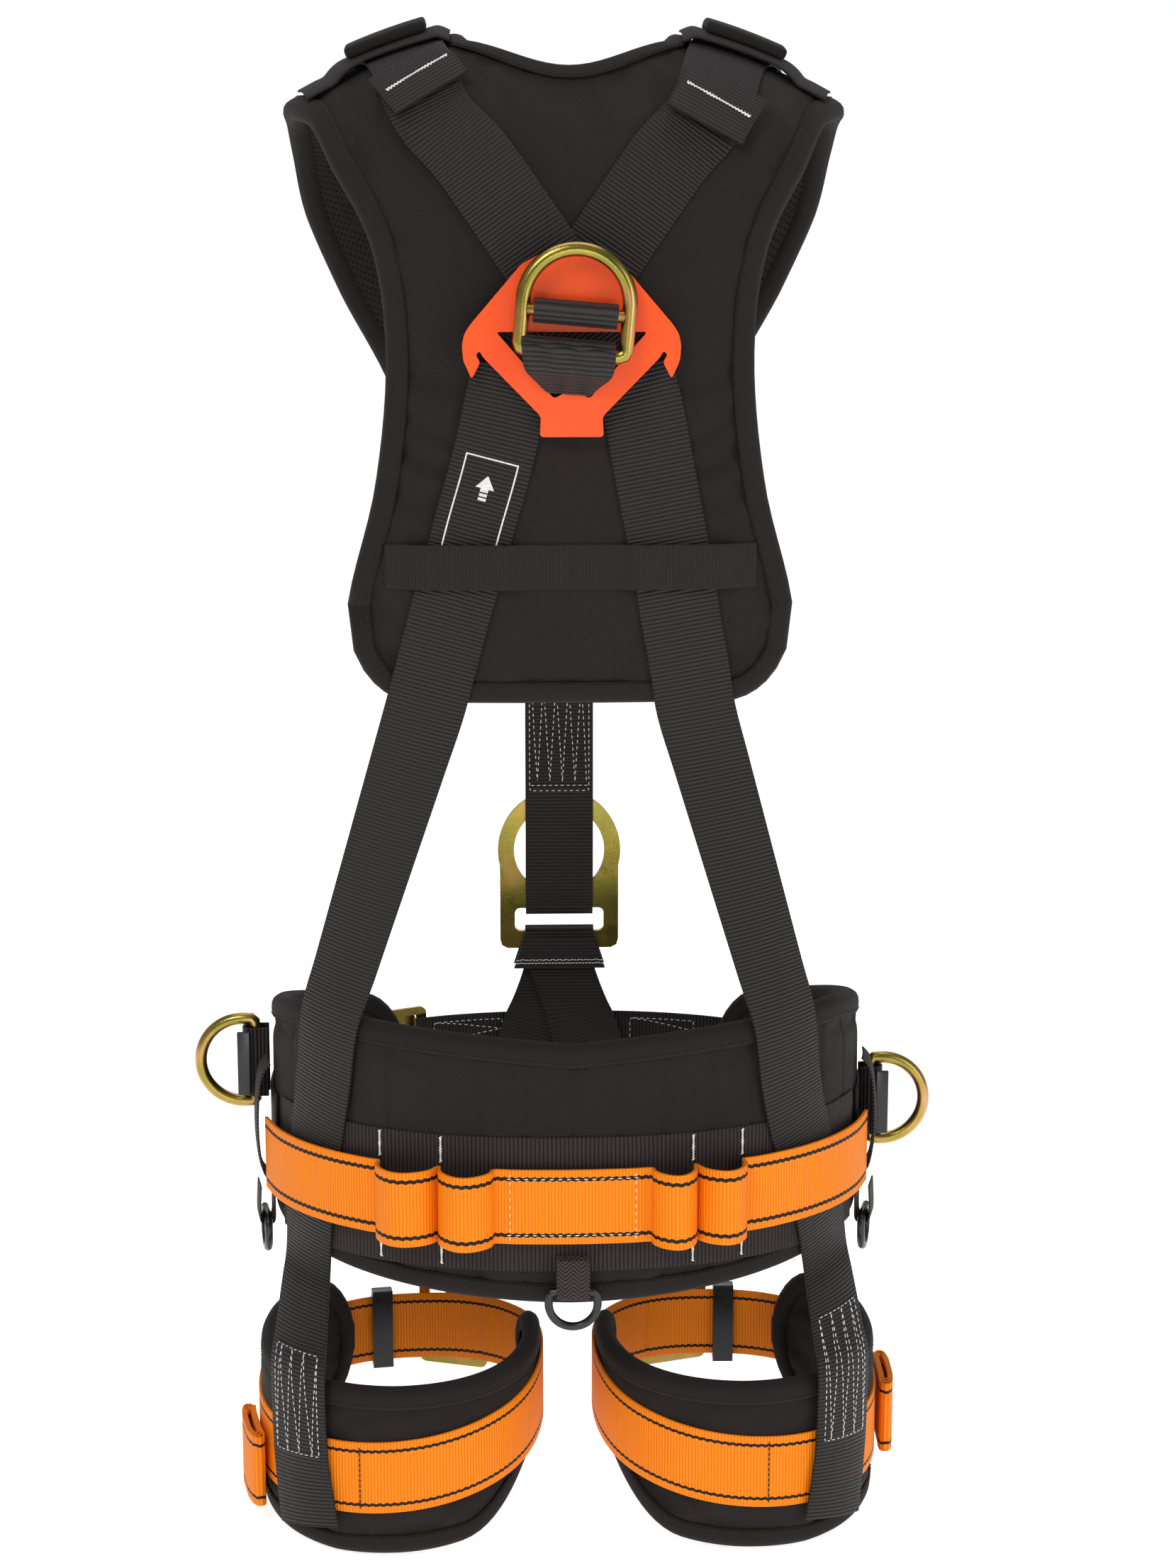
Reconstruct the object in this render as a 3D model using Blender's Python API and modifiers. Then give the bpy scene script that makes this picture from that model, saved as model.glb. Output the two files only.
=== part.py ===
"""Full-body safety harness with waist belt, as worn: back towards -Y, wearer's right towards +X, up is +Z.

Origin: centre of the waist belt opening. Metres. Webbing is 44 mm wide and 1.8 mm thick.
"""
import math

import bmesh
import bpy
from mathutils import Matrix, Vector

WEB_W = 0.044            # webbing width
WEB_T = 0.0018           # webbing thickness
PAD_T = 0.007            # foam and cover of the back pad
LINING_T = 0.002         # spacer mesh lining
GAP = 0.0009             # air between layers that lie on each other

# side view of the back pad's outer face, from its lower edge, over the shoulder, to the chest: (y, z)
PAD_LINE = [(-0.116, 0.262), (-0.119, 0.330), (-0.1205, 0.400), (-0.1205, 0.470), (-0.119, 0.530),
            (-0.110, 0.580), (-0.086, 0.623), (-0.048, 0.647), (-0.005, 0.653), (0.036, 0.638),
            (0.067, 0.604), (0.088, 0.558), (0.101, 0.507), (0.110, 0.455), (0.116, 0.412), (0.120, 0.370)]
# the same line's half-width, inner edge of the shoulder part, and sideways roundness, at each point
PAD_OUTER = [0.122, 0.1205, 0.1035, 0.0965, 0.1035, 0.126, 0.142, 0.153, 0.158, 0.158,
             0.156, 0.150, 0.131, 0.105, 0.090, 0.082]
PAD_INNER = [0.046, 0.046, 0.046, 0.046, 0.046, 0.047, 0.053, 0.0575, 0.064, 0.068,
             0.068, 0.062, 0.050, 0.035, 0.030, 0.028]
PAD_ROUND = [0.5, 0.5, 0.5, 0.5, 0.6, 1.0, 1.5, 1.8, 1.8, 1.6, 1.3, 1.0, 0.9, 0.8, 0.8, 0.8]

WAIST = (0.0, 0.005, 0.1775, 0.135, 2.25)    # centre x, centre y, half-width, half-depth, squareness
LEG = (0.102, -0.028, 0.084, 0.096, 2.2)     # the same for the wearer's right leg
BELT_Z = -0.005                              # centre height of the tool belt


def colour(value):
    """sRGB hex to linear RGBA."""
    parts = [int(value[i:i + 2], 16) / 255 for i in (0, 2, 4)]
    return [c / 12.92 if c <= 0.04045 else ((c + 0.055) / 1.055) ** 2.4 for c in parts] + [1.0]


def material(name, value, rough, metal=0.0):
    mat = bpy.data.materials.new(name)
    mat.use_nodes = True
    shader = mat.node_tree.nodes["Principled BSDF"]
    shader.inputs["Base Color"].default_value = colour(value)
    shader.inputs["Roughness"].default_value = rough
    shader.inputs["Metallic"].default_value = metal
    mat.diffuse_color = colour(value)
    return mat


def lerp(a, b, t):
    return a + (b - a) * t


def spline(points, t):
    """Catmull-Rom value at t (0..1) through a list of numbers or vectors."""
    n = len(points) - 1
    f = min(max(t, 0.0), 1.0) * n
    i = min(int(f), n - 1)
    f -= i
    p0, p1, p2, p3 = (points[min(max(i + k, 0), n)] for k in (-1, 0, 1, 2))
    return (p1 * 2 + (p2 - p0) * f + (p0 * 2 - p1 * 5 + p2 * 4 - p3) * f * f
            + (p1 * 3 - p0 - p2 * 3 + p3) * f * f * f) * 0.5


def smooth(points, count):
    """A rounded path of count + 1 points through the given ones."""
    vectors = [Vector(p) for p in points]
    return [spline(vectors, i / count) for i in range(count + 1)]


# ---------------------------------------------------------------- reference surfaces
def pad_t(z):
    """Place along the pad's side view, on the back, whose height is z."""
    lo, hi = 0.0, 6.0 / 15.0
    for _ in range(40):
        mid = (lo + hi) / 2
        if spline([p[1] for p in PAD_LINE], mid) < z:
            lo = mid
        else:
            hi = mid
    return lo


def pad_raw(x, t):
    y = spline([p[0] for p in PAD_LINE], t)
    z = spline([p[1] for p in PAD_LINE], t)
    dy = spline([p[0] for p in PAD_LINE], t + 0.002) - spline([p[0] for p in PAD_LINE], t - 0.002)
    dz = spline([p[1] for p in PAD_LINE], t + 0.002) - spline([p[1] for p in PAD_LINE], t - 0.002)
    size = math.hypot(dy, dz)
    sag = spline(PAD_ROUND, t) * x * x
    return Vector((x, y + dz / size * sag, z - dy / size * sag))


def pad_at(x, t, off=0.0):
    """Point at sideways place x and place t along the pad's side view, off outward of its face."""
    t = min(max(t, 0.003), 0.997)
    across = pad_raw(x + 0.001, t) - pad_raw(x - 0.001, t)
    along = pad_raw(x, t + 0.002) - pad_raw(x, t - 0.002)
    return pad_raw(x, t) + across.cross(along).normalized() * off


class Loop:
    """Rounded ring standing round +Z; s runs from its back centre, positive towards +X."""

    def __init__(self, cx, cy, a, b, n):
        self.shape = (cx, cy, a, b, n)
        self.points = []
        self.lengths = [0.0]
        for i in range(721):
            angle = math.pi * i / 720
            c, d = math.sin(angle), -math.cos(angle)
            self.points.append((cx + a * math.copysign(abs(c) ** (2 / n), c),
                                cy + b * math.copysign(abs(d) ** (2 / n), d)))
        for p, q in zip(self.points, self.points[1:]):
            self.lengths.append(self.lengths[-1] + math.dist(p, q))
        self.half = self.lengths[-1]

    def flat(self, s):
        s = (s + self.half) % (2 * self.half) - self.half
        want = abs(s)
        lo, hi = 0, len(self.lengths) - 1
        while hi - lo > 1:
            mid = (lo + hi) // 2
            if self.lengths[mid] <= want:
                lo = mid
            else:
                hi = mid
        f = (want - self.lengths[lo]) / (self.lengths[hi] - self.lengths[lo])
        x = lerp(self.points[lo][0], self.points[hi][0], f)
        y = lerp(self.points[lo][1], self.points[hi][1], f)
        return (x if s >= 0 else 2 * self.shape[0] - x), y

    def normal(self, s):
        x0, y0 = self.flat(s - 0.004)
        x1, y1 = self.flat(s + 0.004)
        return Vector((y1 - y0, x0 - x1, 0.0)).normalized()

    def at(self, s, z, off=0.0):
        x, y = self.flat(s)
        return Vector((x, y, z)) + self.normal(s) * off

    def s_at_x(self, x):
        lo, hi = 0.0, self.half / 2
        for _ in range(40):
            mid = (lo + hi) / 2
            if self.flat(mid)[0] < x:
                lo = mid
            else:
                hi = mid
        return lo


waist = Loop(*WAIST)
leg = Loop(*LEG)


def mirrored(point, side):
    return Vector((point.x * side, point.y, point.z))


# ---------------------------------------------------------------- builders
def place(mesh, name, mat, parent=None):
    obj = bpy.data.objects.new(name, mesh)
    bpy.context.scene.collection.objects.link(obj)
    mesh.materials.append(mat)
    if parent:
        obj.parent = parent
    return obj


def finish(bm, name, mat):
    bmesh.ops.recalc_face_normals(bm, faces=bm.faces)
    mesh = bpy.data.meshes.new(name)
    bm.to_mesh(mesh)
    bm.free()
    return place(mesh, name, mat)


def sheet(name, rows, mat, thick, inside):
    """Open surface through rows of points, thickened away from the point inside(place)."""
    bm = bmesh.new()
    nu, nv = len(rows[0]), len(rows)
    grid = bmesh.ops.create_grid(bm, x_segments=nu - 1, y_segments=nv - 1, size=1.0)["verts"]
    for vert in grid:
        u = round((vert.co.x + 1) / 2 * (nu - 1))
        v = round((vert.co.y + 1) / 2 * (nv - 1))
        vert.co = rows[v][u]
    bm.normal_update()
    facing = 0.0
    for face in bm.faces:
        centre = face.calc_center_median()
        facing += face.normal.dot(centre - inside(centre)) * face.calc_area()
    if facing < 0:
        bmesh.ops.reverse_faces(bm, faces=bm.faces)
    mesh = bpy.data.meshes.new(name)
    bm.to_mesh(mesh)
    bm.free()
    obj = place(mesh, name, mat)
    solid = obj.modifiers.new("thickness", "SOLIDIFY")
    solid.thickness = thick
    solid.offset = 1.0
    return obj


def axis_inside(centre):
    return Vector((0.0, 0.005, centre.z))


def shoulder_inside(centre):
    return Vector((centre.x * 0.5, 0.0, min(centre.z, 0.50)))


def leg_inside(side):
    return lambda centre: Vector((LEG[0] * side, LEG[1], centre.z))


def across(points, width, surface, count=5):
    """Rows of points for a strap whose centre line lies in a surface's own two coordinates."""
    rows = []
    for i, (a, b) in enumerate(points):
        a0, b0 = points[max(i - 1, 0)]
        a1, b1 = points[min(i + 1, len(points) - 1)]
        here = surface(a, b)
        da = (surface(a + 0.001, b) - surface(a - 0.001, b)) / 0.002
        db = (surface(a, b + 0.001) - surface(a, b - 0.001)) / 0.002
        along = (surface(a1, b1) - surface(a0, b0)).normalized()
        normal = da.cross(db).normalized()
        side = normal.cross(along).normalized()
        step_a = side.dot(da) / da.dot(da)
        step_b = side.dot(db) / db.dot(db)
        row = []
        for k in range(count):
            u = (k / (count - 1) - 0.5) * width
            row.append(surface(a + step_a * u, b + step_b * u))
        if here is None or (rows and (row[0] - rows[-1][0]).length > (row[-1] - rows[-1][0]).length):
            row.reverse()
        rows.append(row)
    return rows


def ribbon(path, wide, width, count=3):
    """Rows for a strap whose width always runs along one direction."""
    wide = Vector(wide).normalized()
    return [[p + wide * width * (k / (count - 1) - 0.5) for k in range(count)] for p in map(Vector, path)]


def between(row_a, row_b, count):
    """Rows strictly between two rows."""
    return [[a.lerp(b, i / (count + 1)) for a, b in zip(row_a, row_b)] for i in range(1, count + 1)]


def rim(name, edge, mat, close=True):
    """Binding tape round an edge: edge holds (outer corner, inner corner, outward direction)."""
    bm = bmesh.new()
    rings = []
    for top, low, out in edge:
        push, deep = out * 0.0011, out * 0.0034
        rings.append([bm.verts.new(p) for p in (top + push, top + deep * 0.8, (top + low) / 2 + deep * 1.2,
                                                 low + deep * 0.8, low + push)])
    pairs = list(zip(rings, rings[1:])) + ([(rings[-1], rings[0])] if close else [])
    for a, b in pairs:
        for k in range(5):
            bm.faces.new((a[k], a[(k + 1) % 5], b[(k + 1) % 5], b[k]))
    if not close:
        bm.faces.new(rings[0])
        bm.faces.new(rings[-1][::-1])
    return finish(bm, name, mat)


def tube(name, path, radius, mat, closed=True, sides=2):
    """Round wire along a path, as a mesh."""
    curve = bpy.data.curves.new(name, "CURVE")
    curve.dimensions = "3D"
    curve.bevel_depth = radius
    curve.bevel_resolution = sides
    curve.use_fill_caps = True
    line = curve.splines.new("POLY")
    line.points.add(len(path) - 1)
    for point, co in zip(line.points, path):
        point.co = (*co, 1.0)
    line.use_cyclic_u = closed
    holder = bpy.data.objects.new(name + "_wire", curve)
    bpy.context.scene.collection.objects.link(holder)
    mesh = bpy.data.meshes.new_from_object(holder)
    bpy.data.objects.remove(holder)
    bpy.data.curves.remove(curve)
    bm = bmesh.new()
    bm.from_mesh(mesh)
    bmesh.ops.remove_doubles(bm, verts=bm.verts, dist=0.00005)
    bmesh.ops.recalc_face_normals(bm, faces=bm.faces)
    bm.to_mesh(mesh)
    bm.free()
    mesh.name = name
    mesh.materials.clear()
    return place(mesh, name, mat)


def plate(name, loops, thick, mat):
    """Flat plate in its own XY plane from an outline and its holes, extruded both ways along Z."""
    curve = bpy.data.curves.new(name, "CURVE")
    curve.dimensions = "2D"
    curve.fill_mode = "BOTH"
    curve.extrude = thick / 2
    for loop in loops:
        line = curve.splines.new("POLY")
        line.points.add(len(loop) - 1)
        for point, co in zip(line.points, loop):
            point.co = (co[0], co[1], 0.0, 1.0)
        line.use_cyclic_u = True
    holder = bpy.data.objects.new(name + "_curve", curve)
    bpy.context.scene.collection.objects.link(holder)
    mesh = bpy.data.meshes.new_from_object(holder)
    bpy.data.objects.remove(holder)
    bpy.data.curves.remove(curve)
    bm = bmesh.new()
    bm.from_mesh(mesh)
    bmesh.ops.remove_doubles(bm, verts=bm.verts, dist=0.00005)
    bmesh.ops.recalc_face_normals(bm, faces=bm.faces)
    bm.to_mesh(mesh)
    bm.free()
    mesh.name = name
    mesh.materials.clear()
    return place(mesh, name, mat)


def arc(cx, cy, radius, start, end, count):
    """Points of an arc in degrees."""
    return [(cx + radius * math.cos(math.radians(lerp(start, end, i / count))),
             cy + radius * math.sin(math.radians(lerp(start, end, i / count)))) for i in range(count + 1)]


def rounded(half_w, half_h, radius, count=4, cx=0.0, cy=0.0):
    """Rounded rectangle, anticlockwise."""
    loop = []
    for sx, sy, start in ((1, 1, 0), (-1, 1, 90), (-1, -1, 180), (1, -1, 270)):
        loop += arc(cx + sx * (half_w - radius), cy + sy * (half_h - radius), radius, start, start + 90, count)
    return loop


def solid_box(name, size, mat, bevel=0.0008):
    bm = bmesh.new()
    bmesh.ops.create_cube(bm, size=1.0)
    bmesh.ops.scale(bm, vec=size, verts=bm.verts)
    bmesh.ops.bevel(bm, geom=bm.edges, offset=bevel, segments=2, profile=0.5, affect="EDGES")
    return finish(bm, name, mat)


def basis(right, up, at):
    """Placement whose X runs along right, Y along up and Z out of them."""
    right = Vector(right).normalized()
    out = right.cross(Vector(up)).normalized()
    up = out.cross(right)
    matrix = Matrix((right, up, out)).transposed().to_4x4()
    matrix.translation = at
    return matrix


def d_wire(half, reach, count=14):
    """Centre line of a D: straight bar along Y at x = 0, bow towards +X."""
    points = [(0.0, -half, 0.0), (0.0, half, 0.0)]
    points += [(reach - half + x, y, 0.0) for x, y in arc(0.0, 0.0, half, 90, -90, count)]
    return points


for old in list(bpy.data.objects):
    bpy.data.objects.remove(old, do_unlink=True)

black_web = material("polyester_webbing_black", "1E1D1F", 0.75)
pad_cloth = material("padded_oxford_black", "232124", 0.85)
mesh_cloth = material("spacer_mesh_black", "151416", 0.9)
tape = material("binding_tape_black", "19181A", 0.8)
elastic = material("elastic_band_black", "262427", 0.85)
orange_web = material("polyester_webbing_orange", "FF6A05", 0.6)
orange_plastic = material("moulded_plastic_orange", "FF5500", 0.38)
zinc = material("zinc_plated_steel", "B7A24B", 0.3, 1.0)
black_plastic = material("gloss_plastic_black", "121214", 0.3)

# ---------------------------------------------------------------- back pad with its shoulder parts
COLUMNS = 16
NECK_COL = 3                                 # columns each side of the middle that end at the neckline
PANEL_ROWS, ARM_ROWS = 14, 14
T_LOW = pad_t(0.2845)
T_NECK = 7.0 / 15.0
T_END = 14.0 / 15.0


def pad_node(col, row, off):
    """Point of the pad's net: rows 0..PANEL_ROWS are the panel, the rest the shoulder parts."""
    s = 2.0 * col / COLUMNS - 1.0
    edge = NECK_COL * 2.0 / COLUMNS
    if row <= PANEL_ROWS:
        corner = max(0.0, (abs(s) - 0.70) / 0.30)
        low = T_LOW + 0.045 * (1.0 - math.sqrt(max(0.0, 1.0 - corner * corner)))
        drop = max(0.0, 1.0 - (abs(s) / edge) ** 2)
        high = T_NECK - 0.062 * drop
        t = lerp(low, high, row / PANEL_ROWS)
        outer = spline(PAD_OUTER, t)
        return pad_at(s * outer, t, off)
    t = lerp(T_NECK, T_END, (row - PANEL_ROWS) / ARM_ROWS)
    outer, inner = spline(PAD_OUTER, t), spline(PAD_INNER, t)
    place_x = inner + (abs(s) - edge) / (1.0 - edge) * (outer - inner)
    cut = (row - PANEL_ROWS) / ARM_ROWS
    if cut > 0.99:
        mid = abs((place_x - inner) / (outer - inner) - 0.5) * 2
        t -= 0.018 * mid * mid
    return pad_at(math.copysign(place_x, s), t, off)


def pad_solid(name, off, thick, mat):
    """The pad's net as one open surface at off, thickened inward."""
    bm = bmesh.new()
    grid = bmesh.ops.create_grid(bm, x_segments=COLUMNS, y_segments=PANEL_ROWS + ARM_ROWS, size=1.0)["verts"]
    middle = []
    for vert in grid:
        col = round((vert.co.x + 1) / 2 * COLUMNS)
        row = round((vert.co.y + 1) / 2 * (PANEL_ROWS + ARM_ROWS))
        if row > PANEL_ROWS and abs(col - COLUMNS // 2) < NECK_COL:
            middle.append(vert)
        else:
            vert.co = pad_node(col, row, off)
    bmesh.ops.delete(bm, geom=middle, context="VERTS")
    bm.normal_update()
    if sum(f.normal.y * f.calc_area() for f in bm.faces if f.calc_center_median().y < -0.1) > 0:
        bmesh.ops.reverse_faces(bm, faces=bm.faces)
    mesh = bpy.data.meshes.new(name)
    bm.to_mesh(mesh)
    bm.free()
    obj = place(mesh, name, mat)
    solid = obj.modifiers.new("thickness", "SOLIDIFY")
    solid.thickness = thick
    solid.offset = -1.0
    return obj


pad_solid("back_pad", 0.0, PAD_T, pad_cloth)
pad_solid("back_pad_lining", -PAD_T - 0.0004, LINING_T, mesh_cloth)

last = PANEL_ROWS + ARM_ROWS
mid_col = COLUMNS // 2
keys = [(c, 0) for c in range(COLUMNS + 1)]
keys += [(COLUMNS, r) for r in range(1, last + 1)]
keys += [(c, last) for c in range(COLUMNS - 1, mid_col + NECK_COL - 1, -1)]
keys += [(mid_col + NECK_COL, r) for r in range(last - 1, PANEL_ROWS - 1, -1)]
keys += [(c, PANEL_ROWS) for c in range(mid_col + NECK_COL - 1, mid_col - NECK_COL - 1, -1)]
keys += [(mid_col - NECK_COL, r) for r in range(PANEL_ROWS + 1, last + 1)]
keys += [(c, last) for c in range(mid_col - NECK_COL - 1, -1, -1)]
keys += [(0, r) for r in range(last - 1, 0, -1)]
pad_edge = []
for i, key in enumerate(keys):
    top = pad_node(*key, 0.0)
    low = pad_node(*key, -PAD_T - LINING_T - 0.0004)
    run = (pad_node(*keys[(i + 1) % len(keys)], 0.0) - pad_node(*keys[i - 1], 0.0)).normalized()
    pad_edge.append((top, low, run.cross(top - low).normalized()))
rim("back_pad_binding", pad_edge, tape)

# ---------------------------------------------------------------- shoulder straps, over the pad from chest to plate
STRAP_LINE = [(0.026, pad_t(0.464)), (0.0, pad_t(0.500)), (-0.026, pad_t(0.5385)), (-0.053, pad_t(0.5765)),
              (-0.0765, pad_t(0.608)), (-0.090, 7.0 / 15), (-0.100, 8.0 / 15), (-0.108, 9.0 / 15),
              (-0.111, 10.0 / 15), (-0.104, 11.0 / 15), (-0.088, 12.0 / 15), (-0.068, 13.0 / 15),
              (-0.052, 14.0 / 15)]
for side, tag, lift in ((1, "l", WEB_T + 2 * GAP), (-1, "r", GAP)):
    line = smooth([(x, t, 0) for x, t in STRAP_LINE], 44)
    rows = []
    flat_rows = across([(p.x, p.y) for p in line], WEB_W, lambda a, b: pad_at(a, b, 0.0))
    flat_up = across([(p.x, p.y) for p in line], WEB_W, lambda a, b: pad_at(a, b, 0.010))
    for i, (low, high) in enumerate(zip(flat_rows, flat_up)):
        height = lift if i < 16 else lerp(lift, GAP * 1.6, min(1.0, (i - 16) / 5))
        rows.append([mirrored(a.lerp(b, height / 0.010), side) for a, b in zip(low, high)])
    # the two straps meet on the chest: the last rows leave the pad and run down to the chest web
    end_x, end_y = 0.004, 0.1335 if side > 0 else 0.1365
    tail = ribbon([(-side * end_x, end_y, 0.262)], (1, 0, 0), WEB_W, 5)[0]
    if rows[-1][0].x > rows[-1][-1].x:
        tail.reverse()
    rows += between(rows[-1], tail, 3) + [tail]
    sheet("shoulder_strap_" + tag, rows, black_web, WEB_T, shoulder_inside)

# ---------------------------------------------------------------- on the shoulders: webbing tabs, sleeves and covers
def sleeve_rise(i):
    """Height of a sleeve above the pad at row i of 0..16: low at its sewn ends, high over the strap."""
    near = min(i / 1.3, (13 - i) / 2.5)
    return lerp(0.0024, 0.0064, math.sin(math.pi / 2 * max(0.0, min(near, 1.0))))


for side, tag in ((-1, "l"), (1, "r")):
    def lifted(points, width, off, count=5, side=side):
        low = across(points, width, lambda a, b: pad_at(a, b, 0.0), count)
        high = across(points, width, lambda a, b: pad_at(a, b, 0.010), count)
        rise = off if callable(off) else (lambda i: off)
        return [[mirrored(p.lerp(q, rise(i) / 0.010), side) for p, q in zip(r0, r1)]
                for i, (r0, r1) in enumerate(zip(low, high))]

    t_tab = lerp(pad_t(0.608), 7.0 / 15, 0.25) - (0.026 if side > 0 else 0.0)
    x_tab = 0.0785 if side > 0 else 0.0800
    tab_line = [(x_tab - 0.0075 + 0.0075 * k, t_tab - 0.020 + 0.020 * k) for k in range(3)]
    sheet("shoulder_tab_" + tag, lifted(tab_line, 0.047, 0.0066), black_web, 0.0042, shoulder_inside)
    t_sleeve = 7.15 / 15
    sleeve_line = [(lerp(0.0645, 0.1460, k / 16), t_sleeve + 0.012 - 0.0028 * max(0, k - 9)) for k in range(17)]
    sheet("shoulder_sleeve_" + tag, lifted(sleeve_line, 0.040, sleeve_rise, 5), elastic, 0.0014, shoulder_inside)
    cover_line = [(lerp(0.0755, 0.1185, k / 5), t_sleeve + 0.028) for k in range(6)]
    sheet("shoulder_cover_" + tag, lifted(cover_line, 0.036, 0.0083, 5), elastic, 0.0060, shoulder_inside)

# elastic band across the pad, over the back straps
BAND_T = pad_t(0.3575)
band_rows = []
for k in range(25):
    x = lerp(-0.102, 0.102, k / 24)
    near = min(abs(abs(x) - 0.058) / 0.034, 1.0)
    height = lerp(0.0050, 0.0012, max(0.0, near - 0.75) * 4)
    band_rows.append([pad_at(x, BAND_T + dt, height) for dt in (-0.0118, 0.0, 0.0118)])
sheet("pad_elastic_band", band_rows, elastic, 0.0012, axis_inside)

# ---------------------------------------------------------------- dorsal plate, ring and its webbing
PLATE_Y = -0.1305
half_plate = [(0.014, 0.5275), (0.0268, 0.5207), (0.0542, 0.489), (0.0575, 0.484), (0.0588, 0.478),
              (0.0582, 0.470), (0.0537, 0.4600), (0.0490, 0.4690), (0.0515, 0.4727), (0.0495, 0.4750),
              (0.0472, 0.4712), (0.0166, 0.4400), (0.0172, 0.4290)]
outline = [(0.0, 0.5288)] + half_plate + [(-x, z) for x, z in reversed(half_plate)]
opening = [(0.0405, 0.4850), (-0.0405, 0.4850), (-0.0095, 0.4495), (0.0, 0.4550), (0.0095, 0.4495)]
dorsal_plate = plate("dorsal_plate", [outline, opening], 0.0030, orange_plastic)
dorsal_plate.matrix_world = basis((1, 0, 0), (0, 0, 1), (0.0, PLATE_Y, 0.0))

RING_Y = -0.1420
RING_PIVOT = (0.0, RING_Y, 0.4740)
RING_TILT = math.radians(-5.0)
ring_path = [(-0.0245, 0.0, 0.0), (0.0245, 0.0, 0.0), (0.0285, 0.004, 0.0)]
ring_path += [(x, y, 0.0) for x, y in arc(0.0, 0.0262, 0.0285, 0, 180, 18)]
ring_path += [(-0.0285, 0.004, 0.0)]
dorsal_ring = tube("dorsal_d_ring", ring_path, 0.0040, zinc, sides=3)
bar_bm = bmesh.new()
bmesh.ops.create_cone(bar_bm, cap_ends=True, segments=12, radius1=0.0036, radius2=0.0036, depth=0.0560,
                      matrix=Matrix.Translation((0.0, 0.0215, 0.0)) @ Matrix.Rotation(math.pi / 2, 4, "Y"))
bar = finish(bar_bm, "dorsal_cross_bar_tool", zinc)
tools = bpy.data.collections.new("tools")
bpy.context.scene.collection.children.link(tools)
bpy.context.scene.collection.objects.unlink(bar)
tools.objects.link(bar)
bar.hide_render = True
bar.display_type = "WIRE"
ring_place = basis((math.cos(RING_TILT), 0, math.sin(RING_TILT)), (-math.sin(RING_TILT), 0, math.cos(RING_TILT)),
                   RING_PIVOT)
dorsal_ring.matrix_world = ring_place
bar.matrix_world = ring_place
join = dorsal_ring.modifiers.new("cross_bar", "BOOLEAN")
join.operation = "UNION"
join.solver = "EXACT"
join.object = bar


def sleeve(name, inner, thick, half, mat, matrix, segments=18):
    """Open tube of webbing rolled round a bar along X."""
    bm = bmesh.new()
    rings = []
    for x in (-half, half):
        for radius in (inner, inner + thick):
            rings.append([bm.verts.new((x, radius * math.cos(2 * math.pi * k / segments),
                                        radius * math.sin(2 * math.pi * k / segments))) for k in range(segments)])
    for a, b in ((0, 2), (2, 3), (3, 1), (1, 0)):
        for k in range(segments):
            n = (k + 1) % segments
            bm.faces.new((rings[a][k], rings[a][n], rings[b][n], rings[b][k]))
    obj = finish(bm, name, mat)
    obj.matrix_world = matrix
    return obj


sleeve("dorsal_web_roll", 0.0041, 0.0026, 0.0225, black_web, ring_place @ Matrix.Translation((0, 0.0215, 0)))

# webbing folded over the ring's lower bar, narrowing down into the plate's opening
fold = []
for k in range(13):
    angle = math.radians(lerp(-35, 200, k / 12))
    fold.append((0.0218, RING_Y + math.cos(angle) * -0.0062, 0.4740 + math.sin(angle) * 0.0062))
front = [(0.0085, -0.1335, 0.4560), (0.0150, -0.1375, 0.4610), (0.0190, -0.1460, 0.4660)]
fold_path = front + fold[2:11]
fold_rows = []
for half, y, z in fold_path:
    fold_rows.append([Vector((u * half, y, z + u * half * math.tan(RING_TILT))) for u in (-1, -0.5, 0, 0.5, 1)])
sheet("dorsal_web_fold", fold_rows, black_web, WEB_T, lambda c: Vector((c.x, RING_Y, 0.4740)))

# ---------------------------------------------------------------- back straps: plate, pad, waist, leg pads
# (height, distance from the middle) on the pad, (distance, height) at the waist: left strap, then right
STRAP_X = {-1: [(0.4655, 0.0315), (0.440, 0.0370), (0.411, 0.0440), (0.380, 0.0530), (0.3575, 0.0590),
                (0.330, 0.0670), (0.300, 0.0750), (0.276, 0.0815)],
           1: [(0.4655, 0.0330), (0.440, 0.0395), (0.411, 0.0450), (0.380, 0.0510), (0.3575, 0.0555),
               (0.330, 0.0600), (0.300, 0.0655), (0.276, 0.0695)]}
WAIST_X = {-1: [(0.1370, 0.094), (0.1410, 0.060), (0.1450, 0.030), (0.1490, 0.000), (0.1515, -0.030),
                (0.1530, -0.058)],
           1: [(0.1215, 0.094), (0.1255, 0.060), (0.1310, 0.030), (0.1395, 0.000), (0.1460, -0.030),
               (0.1500, -0.058)]}
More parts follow.
